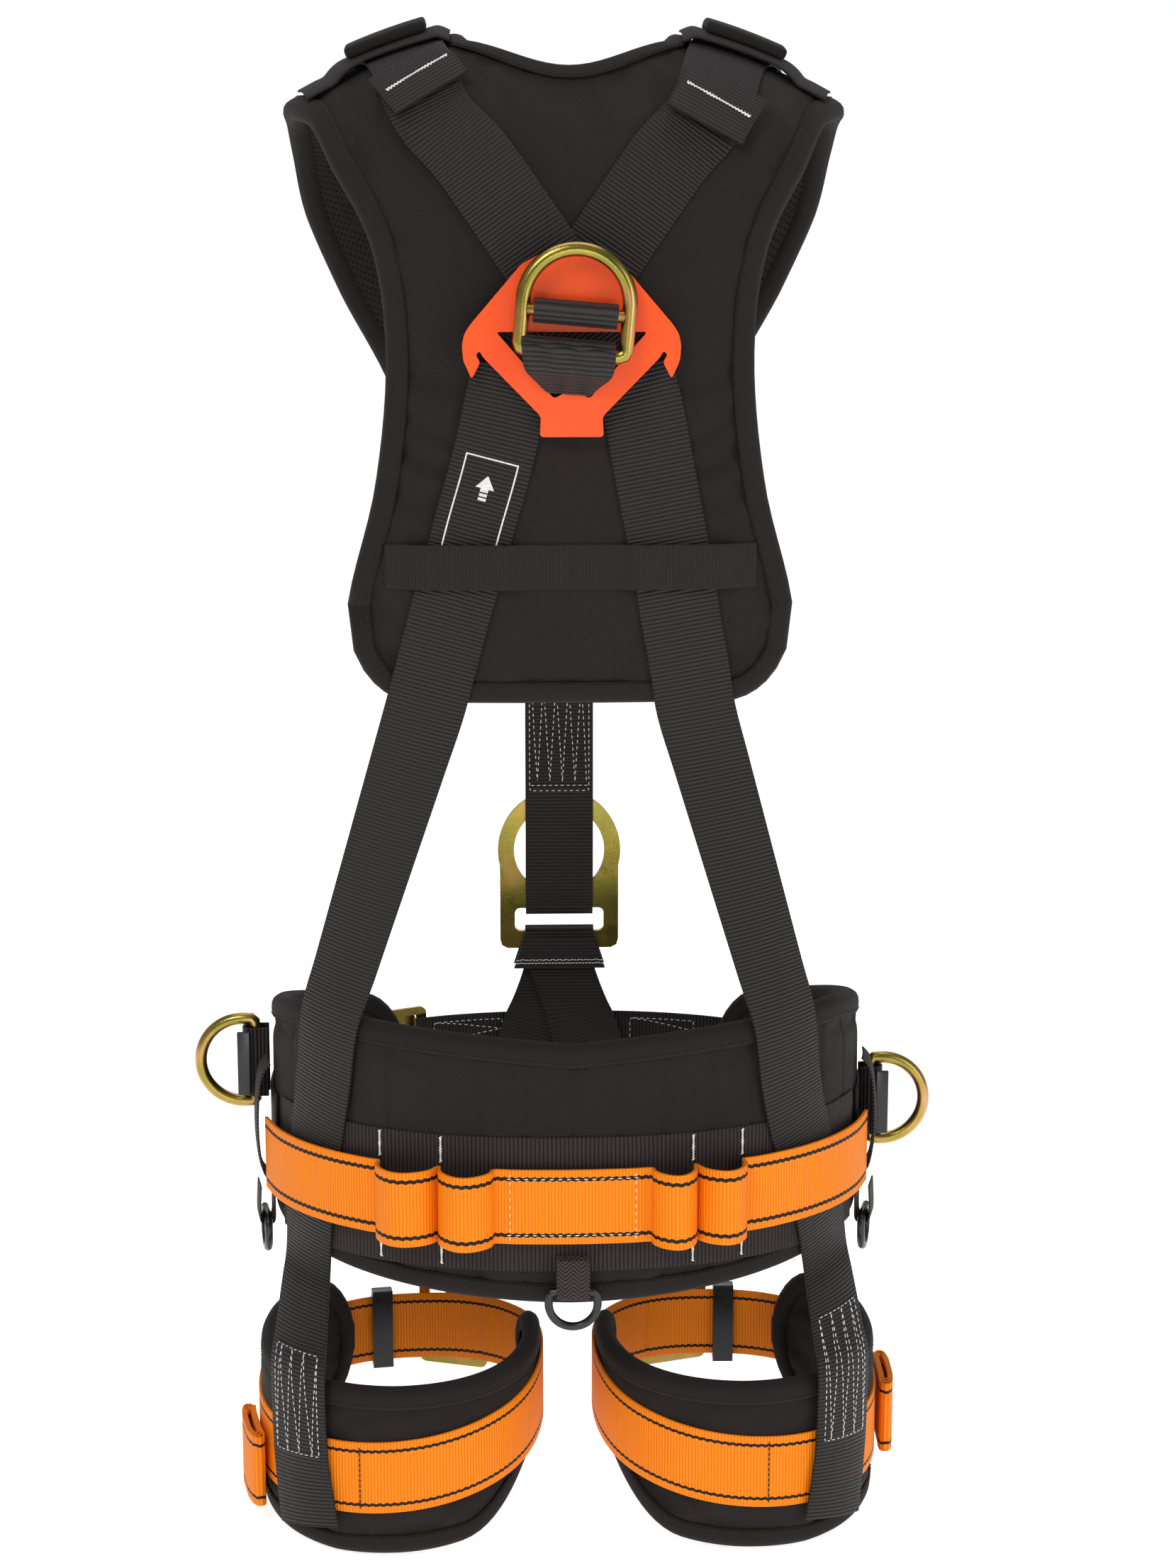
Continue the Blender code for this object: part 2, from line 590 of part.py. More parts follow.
for side, tag in ((-1, "l"), (1, "r")):
    rows = []
    strap_line = [(x, pad_t(z)) for z, x in STRAP_X[side]]
    pad_rows = across(strap_line, WEB_W, lambda a, b: pad_at(a, b, 0.0))
    pad_up = across(strap_line, WEB_W, lambda a, b: pad_at(a, b, 0.010))
    for i, (low, high) in enumerate(zip(pad_rows, pad_up)):
        height = 0.0034 if side < 0 and i < 2 else 0.0014
        rows.append([a.lerp(b, height / 0.010) for a, b in zip(low, high)])
    waist_line = [(waist.s_at_x(x), z) for x, z in WAIST_X[side]]
    waist_rows = across(waist_line, WEB_W, lambda a, b: waist.at(a, b, 0.0031))
    if rows[-1][0].x > rows[-1][-1].x:
        rows = [r[::-1] for r in rows]
    if waist_rows[0][0].x > waist_rows[0][-1].x:
        waist_rows = [r[::-1] for r in waist_rows]
    leg_line = [(0.0600, -0.113), (0.0600, -0.140), (0.0590, -0.165), (0.0560, -0.190), (0.0530, -0.2085)]
    leg_rows = across(leg_line, WEB_W, lambda a, b: leg.at(a, b, 0.0058))
    if leg_rows[0][0].x > leg_rows[0][-1].x:
        leg_rows = [r[::-1] for r in leg_rows]
    rows += between(rows[-1], waist_rows[0], 5) + waist_rows + between(waist_rows[-1], leg_rows[0], 3) + leg_rows
    rows = [[mirrored(p, side) for p in row] for row in rows]
    sheet("back_strap_" + tag, rows, black_web, WEB_T, axis_inside)

# ---------------------------------------------------------------- chest: web, ring plate, lower webs
CHEST_Y = 0.1440
RING_Z = 0.140


def yz_strap(name, path, hint):
    """Web along a path of (width, y, z), thickened away from the line hint (y, z)."""
    rows = [[Vector((u * width / 2, y, z)) for u in (-1, 0, 1)] for width, y, z in path]
    return sheet(name, rows, black_web, WEB_T, lambda c: Vector((c.x, *hint)))


loop_z = RING_Z - 0.0342
chest_path = [(WEB_W, 0.1370, 0.2612), (WEB_W, 0.1370, 0.195), (WEB_W, 0.1370, 0.150), (WEB_W, 0.1375, 0.120),
              (WEB_W, CHEST_Y - 0.0030, loop_z + 0.001)]
chest_path += [(WEB_W, CHEST_Y - 0.0032 * math.cos(math.radians(a)), loop_z - 0.0075 * math.sin(math.radians(a)))
               for a in (30, 60, 90, 120, 150)]
chest_path += [(WEB_W, CHEST_Y + 0.0032, loop_z + 0.001), (WEB_W, CHEST_Y + 0.0032, 0.1225), (WEB_W, 0.1440, 0.1330),
               (WEB_W, 0.1415, 0.1450), (WEB_W, 0.1392, 0.1580), (WEB_W, 0.1388, 0.195), (WEB_W, 0.1388, 0.232)]
yz_strap("chest_web", chest_path, (CHEST_Y - 0.004, loop_z))
half_ring = [(0.0402 * math.sin(math.radians(a)), 0.0402 * math.cos(math.radians(a))) for a in range(9, 108, 9)]
half_ring += [(0.0389, -0.0160), (0.0389, -0.0610), (0.0375, -0.0645), (0.0340, -0.0660)]
ring_outline = [(0.0, 0.0402)] + half_ring + [(-x, y) for x, y in reversed(half_ring)]
eye = arc(0.0, 0.0, 0.0296, 0, 345, 23)
slot = rounded(0.0292, 0.0078, 0.0030, 3, 0.0, -0.0467)
sternal = plate("sternal_ring_plate", [ring_outline, eye, slot], 0.0042, zinc)
sternal.matrix_world = basis((1, 0, 0), (0, 0, 1), (0.0, CHEST_Y, RING_Z))

low_z = RING_Z - 0.0603
fold = [(0.0600, CHEST_Y - 0.0060, low_z - 0.0182), (0.0480, CHEST_Y - 0.0060, low_z)]
fold += [(0.0450, CHEST_Y - 0.0052 * math.cos(math.radians(a)), low_z + 0.0078 * math.sin(math.radians(a)))
         for a in (20, 50, 90, 130, 160)]
fold += [(0.0480, CHEST_Y + 0.0060, low_z), (0.0600, CHEST_Y + 0.0060, low_z - 0.0182)]
yz_strap("lower_chest_fold", fold, (CHEST_Y, low_z - 0.008))
for side, tag, y_in, y_mid, y_low in ((-1, "l", 0.1430, 0.1395, 0.1360), (1, "r", 0.1384, 0.1352, 0.1318)):
    path = [(side * 0.0015, y_in, 0.0620, 0.0), (side * 0.0050, y_mid, 0.0520, 0.0),
            (side * 0.0100, y_low, 0.0400, 0.0), (side * 0.0150, y_low, 0.0250, 0.25),
            (side * 0.0210, y_low - 0.0004, 0.0050, 0.34), (side * 0.0245, y_low - 0.0007, -0.0120, 0.34)]
    rows = [[Vector((x, y, z)) + Vector((1, 0, side * lean)).normalized() * (u * 0.0215) for u in (-1, 0, 1)]
            for x, y, z, lean in path]
    sheet("lower_chest_web_" + tag, rows, black_web, WEB_T, axis_inside)

# ---------------------------------------------------------------- waist pad, bands and belt
PAD_END = 0.395


def waist_top(s):
    f = abs(s) / PAD_END
    return 0.0830 + 0.010 * math.sin(math.pi * min(f * 1.1, 1.0)) - 0.036 * max(0.0, f - 0.45) / 0.55


def waist_low(s):
    f = abs(s) / PAD_END
    return -0.0630 + 0.024 * min(1.0, f / 0.6) ** 1.5


def waist_corner(s):
    """How much of the pad's height is left at s, with rounded ends."""
    f = max(0.0, (abs(s) - (PAD_END - 0.030)) / 0.030)
    return math.sqrt(max(0.02, 1.0 - f * f))


WAIST_T = 0.0100
stations = [lerp(-PAD_END, PAD_END, k / 44) for k in range(45)]
stations[0:1] = [-PAD_END, -PAD_END + 0.004, -PAD_END + 0.010]
stations[-1:] = [PAD_END - 0.010, PAD_END - 0.004, PAD_END]


def waist_rows(off):
    rows = []
    for s in stations:
        top, low, keep = waist_top(s), waist_low(s), waist_corner(s)
        mid, half = (top + low) / 2, (top - low) / 2 * keep
        rows.append([waist.at(s, mid + u * half, off) for u in (-1, -0.5, 0, 0.5, 1)])
    return rows


outer_rows, inner_rows = waist_rows(0.0), waist_rows(-WAIST_T)
sheet("waist_pad", inner_rows, pad_cloth, WAIST_T, axis_inside)


def rim_of(outer, inner):
    """Edge list for rim() round a net of rows."""
    n, m = len(outer), len(outer[0])
    ring = [(i, 0) for i in range(n)] + [(n - 1, j) for j in range(1, m)]
    ring += [(i, m - 1) for i in range(n - 2, -1, -1)] + [(0, j) for j in range(m - 2, 0, -1)]
    edge = []
    for k, (i, j) in enumerate(ring):
        a, b = ring[k - 1], ring[(k + 1) % len(ring)]
        run = (outer[b[0]][b[1]] - outer[a[0]][a[1]]).normalized()
        centre = outer[min(max(i, 1), n - 2)][m // 2]
        away = run.cross(outer[i][j] - inner[i][j]).normalized()
        if away.dot(outer[i][j] - centre) < 0:
            away = -away
        edge.append((outer[i][j], inner[i][j], away))
    return edge


rim("waist_pad_binding", rim_of(outer_rows, inner_rows), tape)


def belt_rows(start, end, low, high, off, count, extra=None):
    """Rows of a band round the waist; extra(s) adds to the distance from the pad."""
    rows = []
    for k in range(count + 1):
        s = lerp(start, end, k / count)
        out = off + (extra(s) if extra else 0.0)
        rows.append([waist.at(s, lerp(low, high, u), out) for u in (0, 0.5, 1)])
    return rows


sheet("waist_carrier_band", belt_rows(-0.200, 0.200, -0.046, 0.034, 0.0006, 40), elastic, 0.0015, axis_inside)

LOOPS = ((-0.110, -0.076), (-0.074, -0.044), (0.044, 0.068), (0.070, 0.097))


def loop_bulge(s):
    for a, b in LOOPS:
        if a < s < b:
            f = (s - a) / (b - a)
            return 0.0170 * math.sin(math.pi * f) ** 0.6
    return 0.0


stops = [-0.215, -0.190, -0.165, -0.140, -0.118]
for a, b in LOOPS[:2]:
    stops += [lerp(a, b, f) for f in (0, 0.07, 0.2, 0.4, 0.6, 0.8, 0.93, 1)]
stops += [-0.030, 0.0, 0.030]
for a, b in LOOPS[2:]:
    stops += [lerp(a, b, f) for f in (0, 0.07, 0.2, 0.4, 0.6, 0.8, 0.93, 1)]
stops += [0.105, 0.118, 0.140, 0.165, 0.190, 0.215]
belt = [[waist.at(s, BELT_Z + u * WEB_W / 2, 0.0070 + loop_bulge(s)) for u in (-1, 0, 1)] for s in stops]
sheet("tool_belt", belt, orange_web, WEB_T, axis_inside)

# front of the waist: webs, joined by the waist buckle at the wearer's left front
for tag, start, end in (("l", 0.212, 0.375), ("r", 0.212, 0.600)):
    side = -1 if tag == "l" else 1
    rows = []
    for k in range(21):
        s = lerp(start, end, k / 20)
        rows.append([mirrored(waist.at(s, 0.009 + u * WEB_W / 2, 0.0010), side) for u in (-1, 0, 1)])
    sheet("front_web_" + tag, rows, black_web, WEB_T, axis_inside)


def buckle(name, matrix, half_w, half_h, thick, windows, mat):
    frame = plate(name, [rounded(half_w, half_h, 0.0045, 3)] + windows, thick, mat)
    frame.matrix_world = matrix
    return frame


def facing(loop, s, z, off, side=1):
    """Placement on a ring: X along it, Y up, Z outward."""
    at = mirrored(loop.at(s, z, off), side)
    normal = mirrored(loop.normal(s), side)
    return basis(Vector((0, 0, 1)).cross(normal), (0, 0, 1), at)


buckle("waist_buckle_frame", facing(waist, 0.398, 0.009, 0.0060, -1), 0.0190, 0.0285, 0.0026,
       [rounded(0.0050, 0.0235, 0.002, 2, 0.0075), rounded(0.0050, 0.0235, 0.002, 2, -0.0075)], zinc)
buckle("waist_buckle_tongue", facing(waist, 0.398, 0.009, 0.0100, -1), 0.0130, 0.0240, 0.0026,
       [rounded(0.0035, 0.0195, 0.002, 2)], zinc)

# ---------------------------------------------------------------- side rings, tapes and gear rings
SIDE_S = 0.2520
SIDE_Z = {-1: 0.0410, 1: 0.0120}
BAR_OFF = {-1: 0.0125, 1: 0.0110}            # how far each ring's bar stands off the pad
TAPE_LINE = [(-0.0250, 0.0038), (-0.0200, 0.0085), (-0.0080, 0.0110), (0.0100, 0.0120), (0.0300, 0.0110),
             (0.0420, 0.0085), (0.0480, 0.0038)]   # (height, distance off the pad)
for side, tag in ((-1, "l"), (1, "r")):
    s, z, stand = SIDE_S, SIDE_Z[side], BAR_OFF[side]
    out = waist.normal(s)
    bar_at = waist.at(s, z, stand)
    ring = tube("side_d_ring_" + tag, d_wire(0.0260, 0.0330), 0.0037, zinc, sides=2)
    ring.matrix_world = basis(mirrored(out, side), (0, 0, 1), mirrored(bar_at, side))
    along = Vector((0, 0, 1)).cross(out)
    hair = []
    for dist, wide in ((0.0040 - stand, 0.0052), (-0.0040, 0.0052), (0.0, 0.0056)):
        hair.append(bar_at + out * dist - along * wide)
    for a in (40, 90, 140):
        hair.append(bar_at + out * 0.0056 * math.sin(math.radians(a)) - along * 0.0056 * math.cos(math.radians(a)))
    for dist, wide in ((0.0, 0.0056), (-0.0040, 0.0052), (0.0040 - stand, 0.0052)):
        hair.append(bar_at + out * dist + along * wide)
    rows = [[mirrored(p + Vector((0, 0, u * 0.0215)), side) for u in (-1, 0, 1)] for p in hair]
    core = mirrored(bar_at + out * -0.004, side)
    sheet("side_ring_web_" + tag, rows, black_web, WEB_T, lambda c, core=core: Vector((core.x, core.y, c.z)))
    rows = [[mirrored(waist.at(0.2290 + u * 0.0120, h, off), side) for u in (-1, 0, 1)] for h, off in TAPE_LINE]
    sheet("side_tape_" + tag, rows, tape, 0.0012, axis_inside)
    stiff = solid_box("side_stiffener_" + tag, (0.0080, 0.0400, 0.0022), black_plastic)
    stiff.matrix_world = basis(mirrored(out, side), (0, 0, 1), mirrored(bar_at + out * 0.006 - along * 0.0089, side))

for name, s, z, side in (("back", 0.0, -0.0560, 1), ("l", 0.226, -0.0480, -1), ("r", 0.216, -0.0480, 1)):
    at = waist.at(s, z, 0.0075)
    ring = tube("gear_ring_" + name, d_wire(0.0140, 0.0210, 12), 0.0024, black_plastic, sides=2)
    normal = mirrored(waist.normal(s), side)
    tangent = Vector((0, 0, 1)).cross(normal)
    ring.matrix_world = basis((0, 0, -1), tangent, mirrored(at, side))
    path = [(0.0075 - 0.0040, 0.0200), (0.0075 - 0.0040, 0.0060)]
    path += [(0.0075 - 0.0040 * math.cos(math.radians(a)), -0.0040 * math.sin(math.radians(a))) for a in (20, 60, 90, 120, 160)]
    path += [(0.0075 + 0.0040, 0.0060), (0.0075 + 0.0032, 0.0200)]
    rows = []
    for off, dz in path:
        rows.append([mirrored(waist.at(s, z + dz, off), side) + tangent * (u * 0.0095) for u in (-1, 0, 1)])
    core = mirrored(at, side) + Vector((0, 0, 0.008))
    sheet("gear_tape_" + name, rows, tape, 0.0010, lambda c, core=core: core + (c - core).project(tangent))

# ---------------------------------------------------------------- leg loops
LEG_T = 0.0090
# centre height of the leg web, from the front round the inside, the back and the outside to the front
WEB_HEIGHT = [-0.160, -0.155, -0.152, -0.163, -0.173, -0.174, -0.171, -0.164, -0.160]
INNER_END, OUTER_END = -0.180, 0.248
WEB_START, WEB_END = -0.238, 2 * leg.half - 0.238 - 0.0004
KEEPER_AT = {-1: 0.273, 1: 0.286}
ROLL_AT = {-1: (0.114, -0.015), 1: (0.140, 0.0)}


def leg_top(s):
    return -0.1240 + 0.004 * abs(s) / 0.2


def leg_low(s):
    f = s / 0.2
    rise = max(0.0, min(1.0, (-f - 0.20) / 0.40))
    low = -0.2140 - 0.0060 * math.cos(f * 1.6 - 0.5) + 0.018 * max(0.0, -f) ** 1.4 + 0.012 * max(0.0, f - 0.2)
    return low + 0.034 * rise * rise * (3 - 2 * rise)


def web_z(s):
    return spline(WEB_HEIGHT, ((s + leg.half) % (2 * leg.half)) / (2 * leg.half))


for side, tag in ((-1, "l"), (1, "r")):
    core = leg_inside(side)
    marks = [INNER_END, INNER_END + 0.004, INNER_END + 0.010, INNER_END + 0.020]
    marks += [lerp(INNER_END + 0.020, OUTER_END - 0.020, k / 18) for k in range(1, 18)]
    marks += [OUTER_END - 0.020, OUTER_END - 0.010, OUTER_END - 0.004, OUTER_END]
    nets = []
    for off in (0.0, -LEG_T):
        net = []
        for s in marks:
            near = min(s - INNER_END, OUTER_END - s)
            f = max(0.0, (0.030 - near) / 0.030)
            keep = math.sqrt(max(0.03, 1.0 - f * f))
            top, low = leg_top(s), leg_low(s)
            mid, half = (top + low) / 2, (top - low) / 2 * keep
            net.append([mirrored(leg.at(s, mid + u * half, off), side) for u in (-1, -0.5, 0, 0.5, 1)])
        nets.append(net)
    sheet("leg_pad_" + tag, nets[1], pad_cloth, LEG_T, core)
    rim("leg_pad_binding_" + tag, rim_of(nets[0], nets[1]), tape)

    def leg_band(start, end, z, half, off, count, side=side):
        rows = []
        for k in range(count + 1):
            s = lerp(start, end, k / count)
            rows.append([mirrored(leg.at(s, z(s) + u * half, off), side) for u in (-1, 0, 1)])
        return rows

    sheet("leg_web_" + tag, leg_band(WEB_START, WEB_END, web_z, WEB_W / 2, 0.0012, 42), orange_web, WEB_T, core)
    s_buckle = leg.half + 0.029
    buckle("leg_buckle_" + tag, facing(leg, s_buckle, web_z(s_buckle), 0.0070, side), 0.0230, 0.0285, 0.0026,
           [rounded(0.0055, 0.0235, 0.002, 2, 0.0105), rounded(0.0055, 0.0235, 0.002, 2, -0.0105)], zinc)
    keeper = plate("leg_keeper_" + tag, [rounded(0.0262, 0.0048, 0.0012, 2), rounded(0.0240, 0.0026, 0.0006, 2)],
                   0.0130, black_plastic)
    s_keep = KEEPER_AT[side]
    at = mirrored(leg.at(s_keep, web_z(s_keep), 0.0021), side)
    normal = mirrored(leg.normal(s_keep), side)
    keeper.matrix_world = basis((0, 0, 1), normal, at)
    roll = []
    s_roll, drop = ROLL_AT[side]
    for k in range(8):
        f = k / 7
        roll.append((s_roll - 0.025 + 0.050 * f, 0.0064 + 0.0030 * math.sin(math.pi * f)))
    rows = [[mirrored(leg.at(s, web_z(s) + drop + u * WEB_W / 2, off), side) for u in (-1, 0, 1)] for s, off in roll]
    sheet("leg_web_end_" + tag, rows, orange_web, 0.0060, core)
    path = [((0.0330, 0.1345, -0.0235), 0.0150), ((0.0310, 0.1200, -0.0450), 0.0150),
            ((0.0270, 0.0850, -0.0850), 0.0150), ((0.0200, 0.0450, -0.1180), 0.0150)]
    rows = [[Vector((side * (c[0] + u * w), c[1], c[2])) for u in (-1, 0, 1)] for c, w in path]
    sheet("leg_riser_" + tag, rows, black_web, WEB_T, lambda c: Vector((c.x, 0.0, 0.05)))
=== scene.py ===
# %% [markdown]
# # Full-body safety harness with a waist belt
# The harness keeps the shape it has when worn. -Y is out of the wearer's back, +X is the wearer's right.
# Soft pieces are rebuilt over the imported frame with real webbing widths; rings and plates get finer edges.

# %% load the frame
import math

import bmesh
import bpy
import numpy as np
from mathutils import Matrix, Vector


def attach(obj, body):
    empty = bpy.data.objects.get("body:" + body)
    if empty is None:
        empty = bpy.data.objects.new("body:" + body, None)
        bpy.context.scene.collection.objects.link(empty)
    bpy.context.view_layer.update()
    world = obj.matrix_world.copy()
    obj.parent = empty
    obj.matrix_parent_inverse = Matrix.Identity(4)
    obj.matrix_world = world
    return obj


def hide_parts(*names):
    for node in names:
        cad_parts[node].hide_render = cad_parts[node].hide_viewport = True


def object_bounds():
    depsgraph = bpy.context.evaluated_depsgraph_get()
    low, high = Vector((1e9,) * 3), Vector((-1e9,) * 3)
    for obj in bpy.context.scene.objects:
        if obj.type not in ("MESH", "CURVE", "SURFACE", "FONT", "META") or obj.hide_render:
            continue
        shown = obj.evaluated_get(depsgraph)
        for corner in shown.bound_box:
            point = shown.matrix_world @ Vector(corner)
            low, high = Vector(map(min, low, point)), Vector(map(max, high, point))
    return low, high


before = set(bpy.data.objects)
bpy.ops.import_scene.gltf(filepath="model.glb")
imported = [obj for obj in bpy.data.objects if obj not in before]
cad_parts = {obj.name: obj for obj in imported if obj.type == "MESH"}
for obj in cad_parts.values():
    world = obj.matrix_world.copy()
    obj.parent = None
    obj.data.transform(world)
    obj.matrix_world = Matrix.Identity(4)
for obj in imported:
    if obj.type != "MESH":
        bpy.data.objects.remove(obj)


def plain(bounds):
    return [[float(v) for v in row] for row in bounds]


cad_size = plain(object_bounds())
print("frame bounds", cad_size)

# %% [markdown]
# ## Dimensions
# Webbing is 44 mm wide. PAD_LINE is the side view of the back pad's outer face, from its lower edge over
# the shoulder to the chest, and the lists below it hold its half-width, inner edge and roundness.

# %% dimensions
WEB_W, WEB_T = 0.044, 0.0018
PAD_T, LINING_T, WAIST_T, LEG_T = 0.007, 0.002, 0.010, 0.009
GAP = 0.0009
PAD_LINE = [(-0.116, 0.262), (-0.119, 0.330), (-0.1205, 0.400), (-0.1205, 0.470), (-0.119, 0.530),
            (-0.110, 0.580), (-0.086, 0.623), (-0.048, 0.647), (-0.005, 0.653), (0.036, 0.638),
            (0.067, 0.604), (0.088, 0.558), (0.101, 0.507), (0.110, 0.455), (0.116, 0.412), (0.120, 0.370)]
PAD_OUTER = [0.122, 0.1205, 0.1035, 0.0965, 0.1035, 0.126, 0.142, 0.153, 0.158, 0.158,
             0.156, 0.150, 0.131, 0.105, 0.090, 0.082]
PAD_INNER = [0.046, 0.046, 0.046, 0.046, 0.046, 0.047, 0.053, 0.0575, 0.064, 0.068,
             0.068, 0.062, 0.050, 0.035, 0.030, 0.028]
PAD_ROUND = [0.5, 0.5, 0.5, 0.5, 0.6, 1.0, 1.5, 1.8, 1.8, 1.6, 1.3, 1.0, 0.9, 0.8, 0.8, 0.8]
BELT_Z = -0.005


# %% curves and reference surfaces
def lerp(a, b, t):
    return a + (b - a) * t


def spline(points, t):
    """Catmull-Rom value at t (0..1) through numbers or vectors."""
    n = len(points) - 1
    f = min(max(t, 0.0), 1.0) * n
    i = min(int(f), n - 1)
    f -= i
    p0, p1, p2, p3 = (points[min(max(i + k, 0), n)] for k in (-1, 0, 1, 2))
    return (p1 * 2 + (p2 - p0) * f + (p0 * 2 - p1 * 5 + p2 * 4 - p3) * f * f
            + (p1 * 3 - p0 - p2 * 3 + p3) * f * f * f) * 0.5


def smooth(points, count):
    vectors = [Vector(p) for p in points]
    return [spline(vectors, i / count) for i in range(count + 1)]


PAD_Y, PAD_Z = [p[0] for p in PAD_LINE], [p[1] for p in PAD_LINE]


def halve(low, high, below):
    """The place between low and high up to which below(place) holds."""
    for _ in range(40):
        mid = (low + high) / 2
        if below(mid):
            low = mid
        else:
            high = mid
    return low


def pad_t(z):
    """Place along the pad's side view, on the back, whose height is z."""
    return halve(0.0, 6.0 / 15.0, lambda t: spline(PAD_Z, t) < z)


def pad_raw(x, t):
    dy = spline(PAD_Y, t + 0.002) - spline(PAD_Y, t - 0.002)
    dz = spline(PAD_Z, t + 0.002) - spline(PAD_Z, t - 0.002)
    size = math.hypot(dy, dz)
    sag = spline(PAD_ROUND, t) * x * x
    return Vector((x, spline(PAD_Y, t) + dz / size * sag, spline(PAD_Z, t) - dy / size * sag))


def pad_at(x, t, off=0.0):
    """Point at sideways place x and place t along the pad, off outward of its face."""
    t = min(max(t, 0.003), 0.997)
    across_x = pad_raw(x + 0.001, t) - pad_raw(x - 0.001, t)
    along = pad_raw(x, t + 0.002) - pad_raw(x, t - 0.002)
    return pad_raw(x, t) + across_x.cross(along).normalized() * off


class Loop:
    """Rounded ring standing round +Z; s runs from its back centre, positive towards +X."""

    def __init__(self, cx, cy, a, b, n):
        self.cx = cx
        self.points, self.lengths = [], [0.0]
        for i in range(721):
            angle = math.pi * i / 720
            c, d = math.sin(angle), -math.cos(angle)
            self.points.append((cx + a * math.copysign(abs(c) ** (2 / n), c),
                                cy + b * math.copysign(abs(d) ** (2 / n), d)))
        for p, q in zip(self.points, self.points[1:]):
            self.lengths.append(self.lengths[-1] + math.dist(p, q))
        self.half = self.lengths[-1]

    def flat(self, s):
        s = (s + self.half) % (2 * self.half) - self.half
        want = abs(s)
        lo, hi = 0, len(self.lengths) - 1
        while hi - lo > 1:
            mid = (lo + hi) // 2
            if self.lengths[mid] <= want:
                lo = mid
            else:
                hi = mid
        f = (want - self.lengths[lo]) / (self.lengths[hi] - self.lengths[lo])
        x = lerp(self.points[lo][0], self.points[hi][0], f)
        y = lerp(self.points[lo][1], self.points[hi][1], f)
        return (x if s >= 0 else 2 * self.cx - x), y

    def normal(self, s):
        x0, y0 = self.flat(s - 0.004)
        x1, y1 = self.flat(s + 0.004)
        return Vector((y1 - y0, x0 - x1, 0.0)).normalized()

    def at(self, s, z, off=0.0):
        x, y = self.flat(s)
        return Vector((x, y, z)) + self.normal(s) * off

    def s_at_x(self, x):
        return halve(0.0, self.half / 2, lambda s: self.flat(s)[0] < x)


waist = Loop(0.0, 0.005, 0.1775, 0.135, 2.25)
leg = Loop(0.102, -0.028, 0.084, 0.096, 2.2)


def mirrored(point, side):
    return Vector((point.x * side, point.y, point.z))


def mirror_rows(rows, side):
    return [[mirrored(p, side) for p in row] for row in rows]


def web_round(loop, path, side=1):
    """Rows of a web standing round a loop, through places (s, height, distance off the loop)."""
    return [[mirrored(loop.at(s, z + u * WEB_W / 2, off), side) for u in (-1, 0, 1)] for s, z, off in path]


def across(points, width, surface, count=5):
    """Rows for a strap whose centre line lies in a surface's own two coordinates."""
    rows = []
    for i, (a, b) in enumerate(points):
        a0, b0 = points[max(i - 1, 0)]
        a1, b1 = points[min(i + 1, len(points) - 1)]
        da = (surface(a + 0.001, b) - surface(a - 0.001, b)) / 0.002
        db = (surface(a, b + 0.001) - surface(a, b - 0.001)) / 0.002
        along = (surface(a1, b1) - surface(a0, b0)).normalized()
        side = da.cross(db).normalized().cross(along).normalized()
        step_a, step_b = side.dot(da) / da.dot(da), side.dot(db) / db.dot(db)
        row = [surface(a + step_a * u, b + step_b * u)
               for u in ((k / (count - 1) - 0.5) * width for k in range(count))]
        if rows and (row[0] - rows[-1][0]).length > (row[-1] - rows[-1][0]).length:
            row.reverse()
        rows.append(row)
    return rows


def between(row_a, row_b, count):
    return [[a.lerp(b, i / (count + 1)) for a, b in zip(row_a, row_b)] for i in range(1, count + 1)]


print("waist round", round(2 * waist.half, 3), "m, leg round", round(2 * leg.half, 3), "m")

# %% [markdown]
# ## Finishes
# Woven finishes read the pieces' own UV maps, which hold metres: u across the band, v along it.


# %% node helpers
def linear(value):
    """sRGB hex to linear RGBA."""
    parts = [int(value[i:i + 2], 16) / 255 for i in (0, 2, 4)]
    return [c / 12.92 if c <= 0.04045 else ((c + 0.055) / 1.055) ** 2.4 for c in parts] + [1.0]


def add(tree, kind, inputs=None, **settings):
    """One shader node with its settings and links; gives its outputs."""
    node = tree.nodes.new(kind)
    for key, value in settings.items():
        setattr(node, key, value)
    for key, value in (inputs or {}).items():
        if isinstance(value, bpy.types.NodeSocket):
            tree.links.new(value, node.inputs[key])
        else:
            node.inputs[key].default_value = value
    return node.outputs


def calc(tree, operation, a, b=0.0, c=0.0):
    return add(tree, "ShaderNodeMath", {0: a, 1: b, 2: c}, operation=operation)[0]


def new_material(name, rough, metal=0.0, **extra):
    mat = bpy.data.materials.new(name)
    mat.use_nodes = True
    tree = mat.node_tree
    shader = tree.nodes["Principled BSDF"]
    shader.inputs["Roughness"].default_value = rough
    shader.inputs["Metallic"].default_value = metal
    for key, value in extra.items():
        shader.inputs[key.replace("_", " ")].default_value = value
    return mat, tree, shader


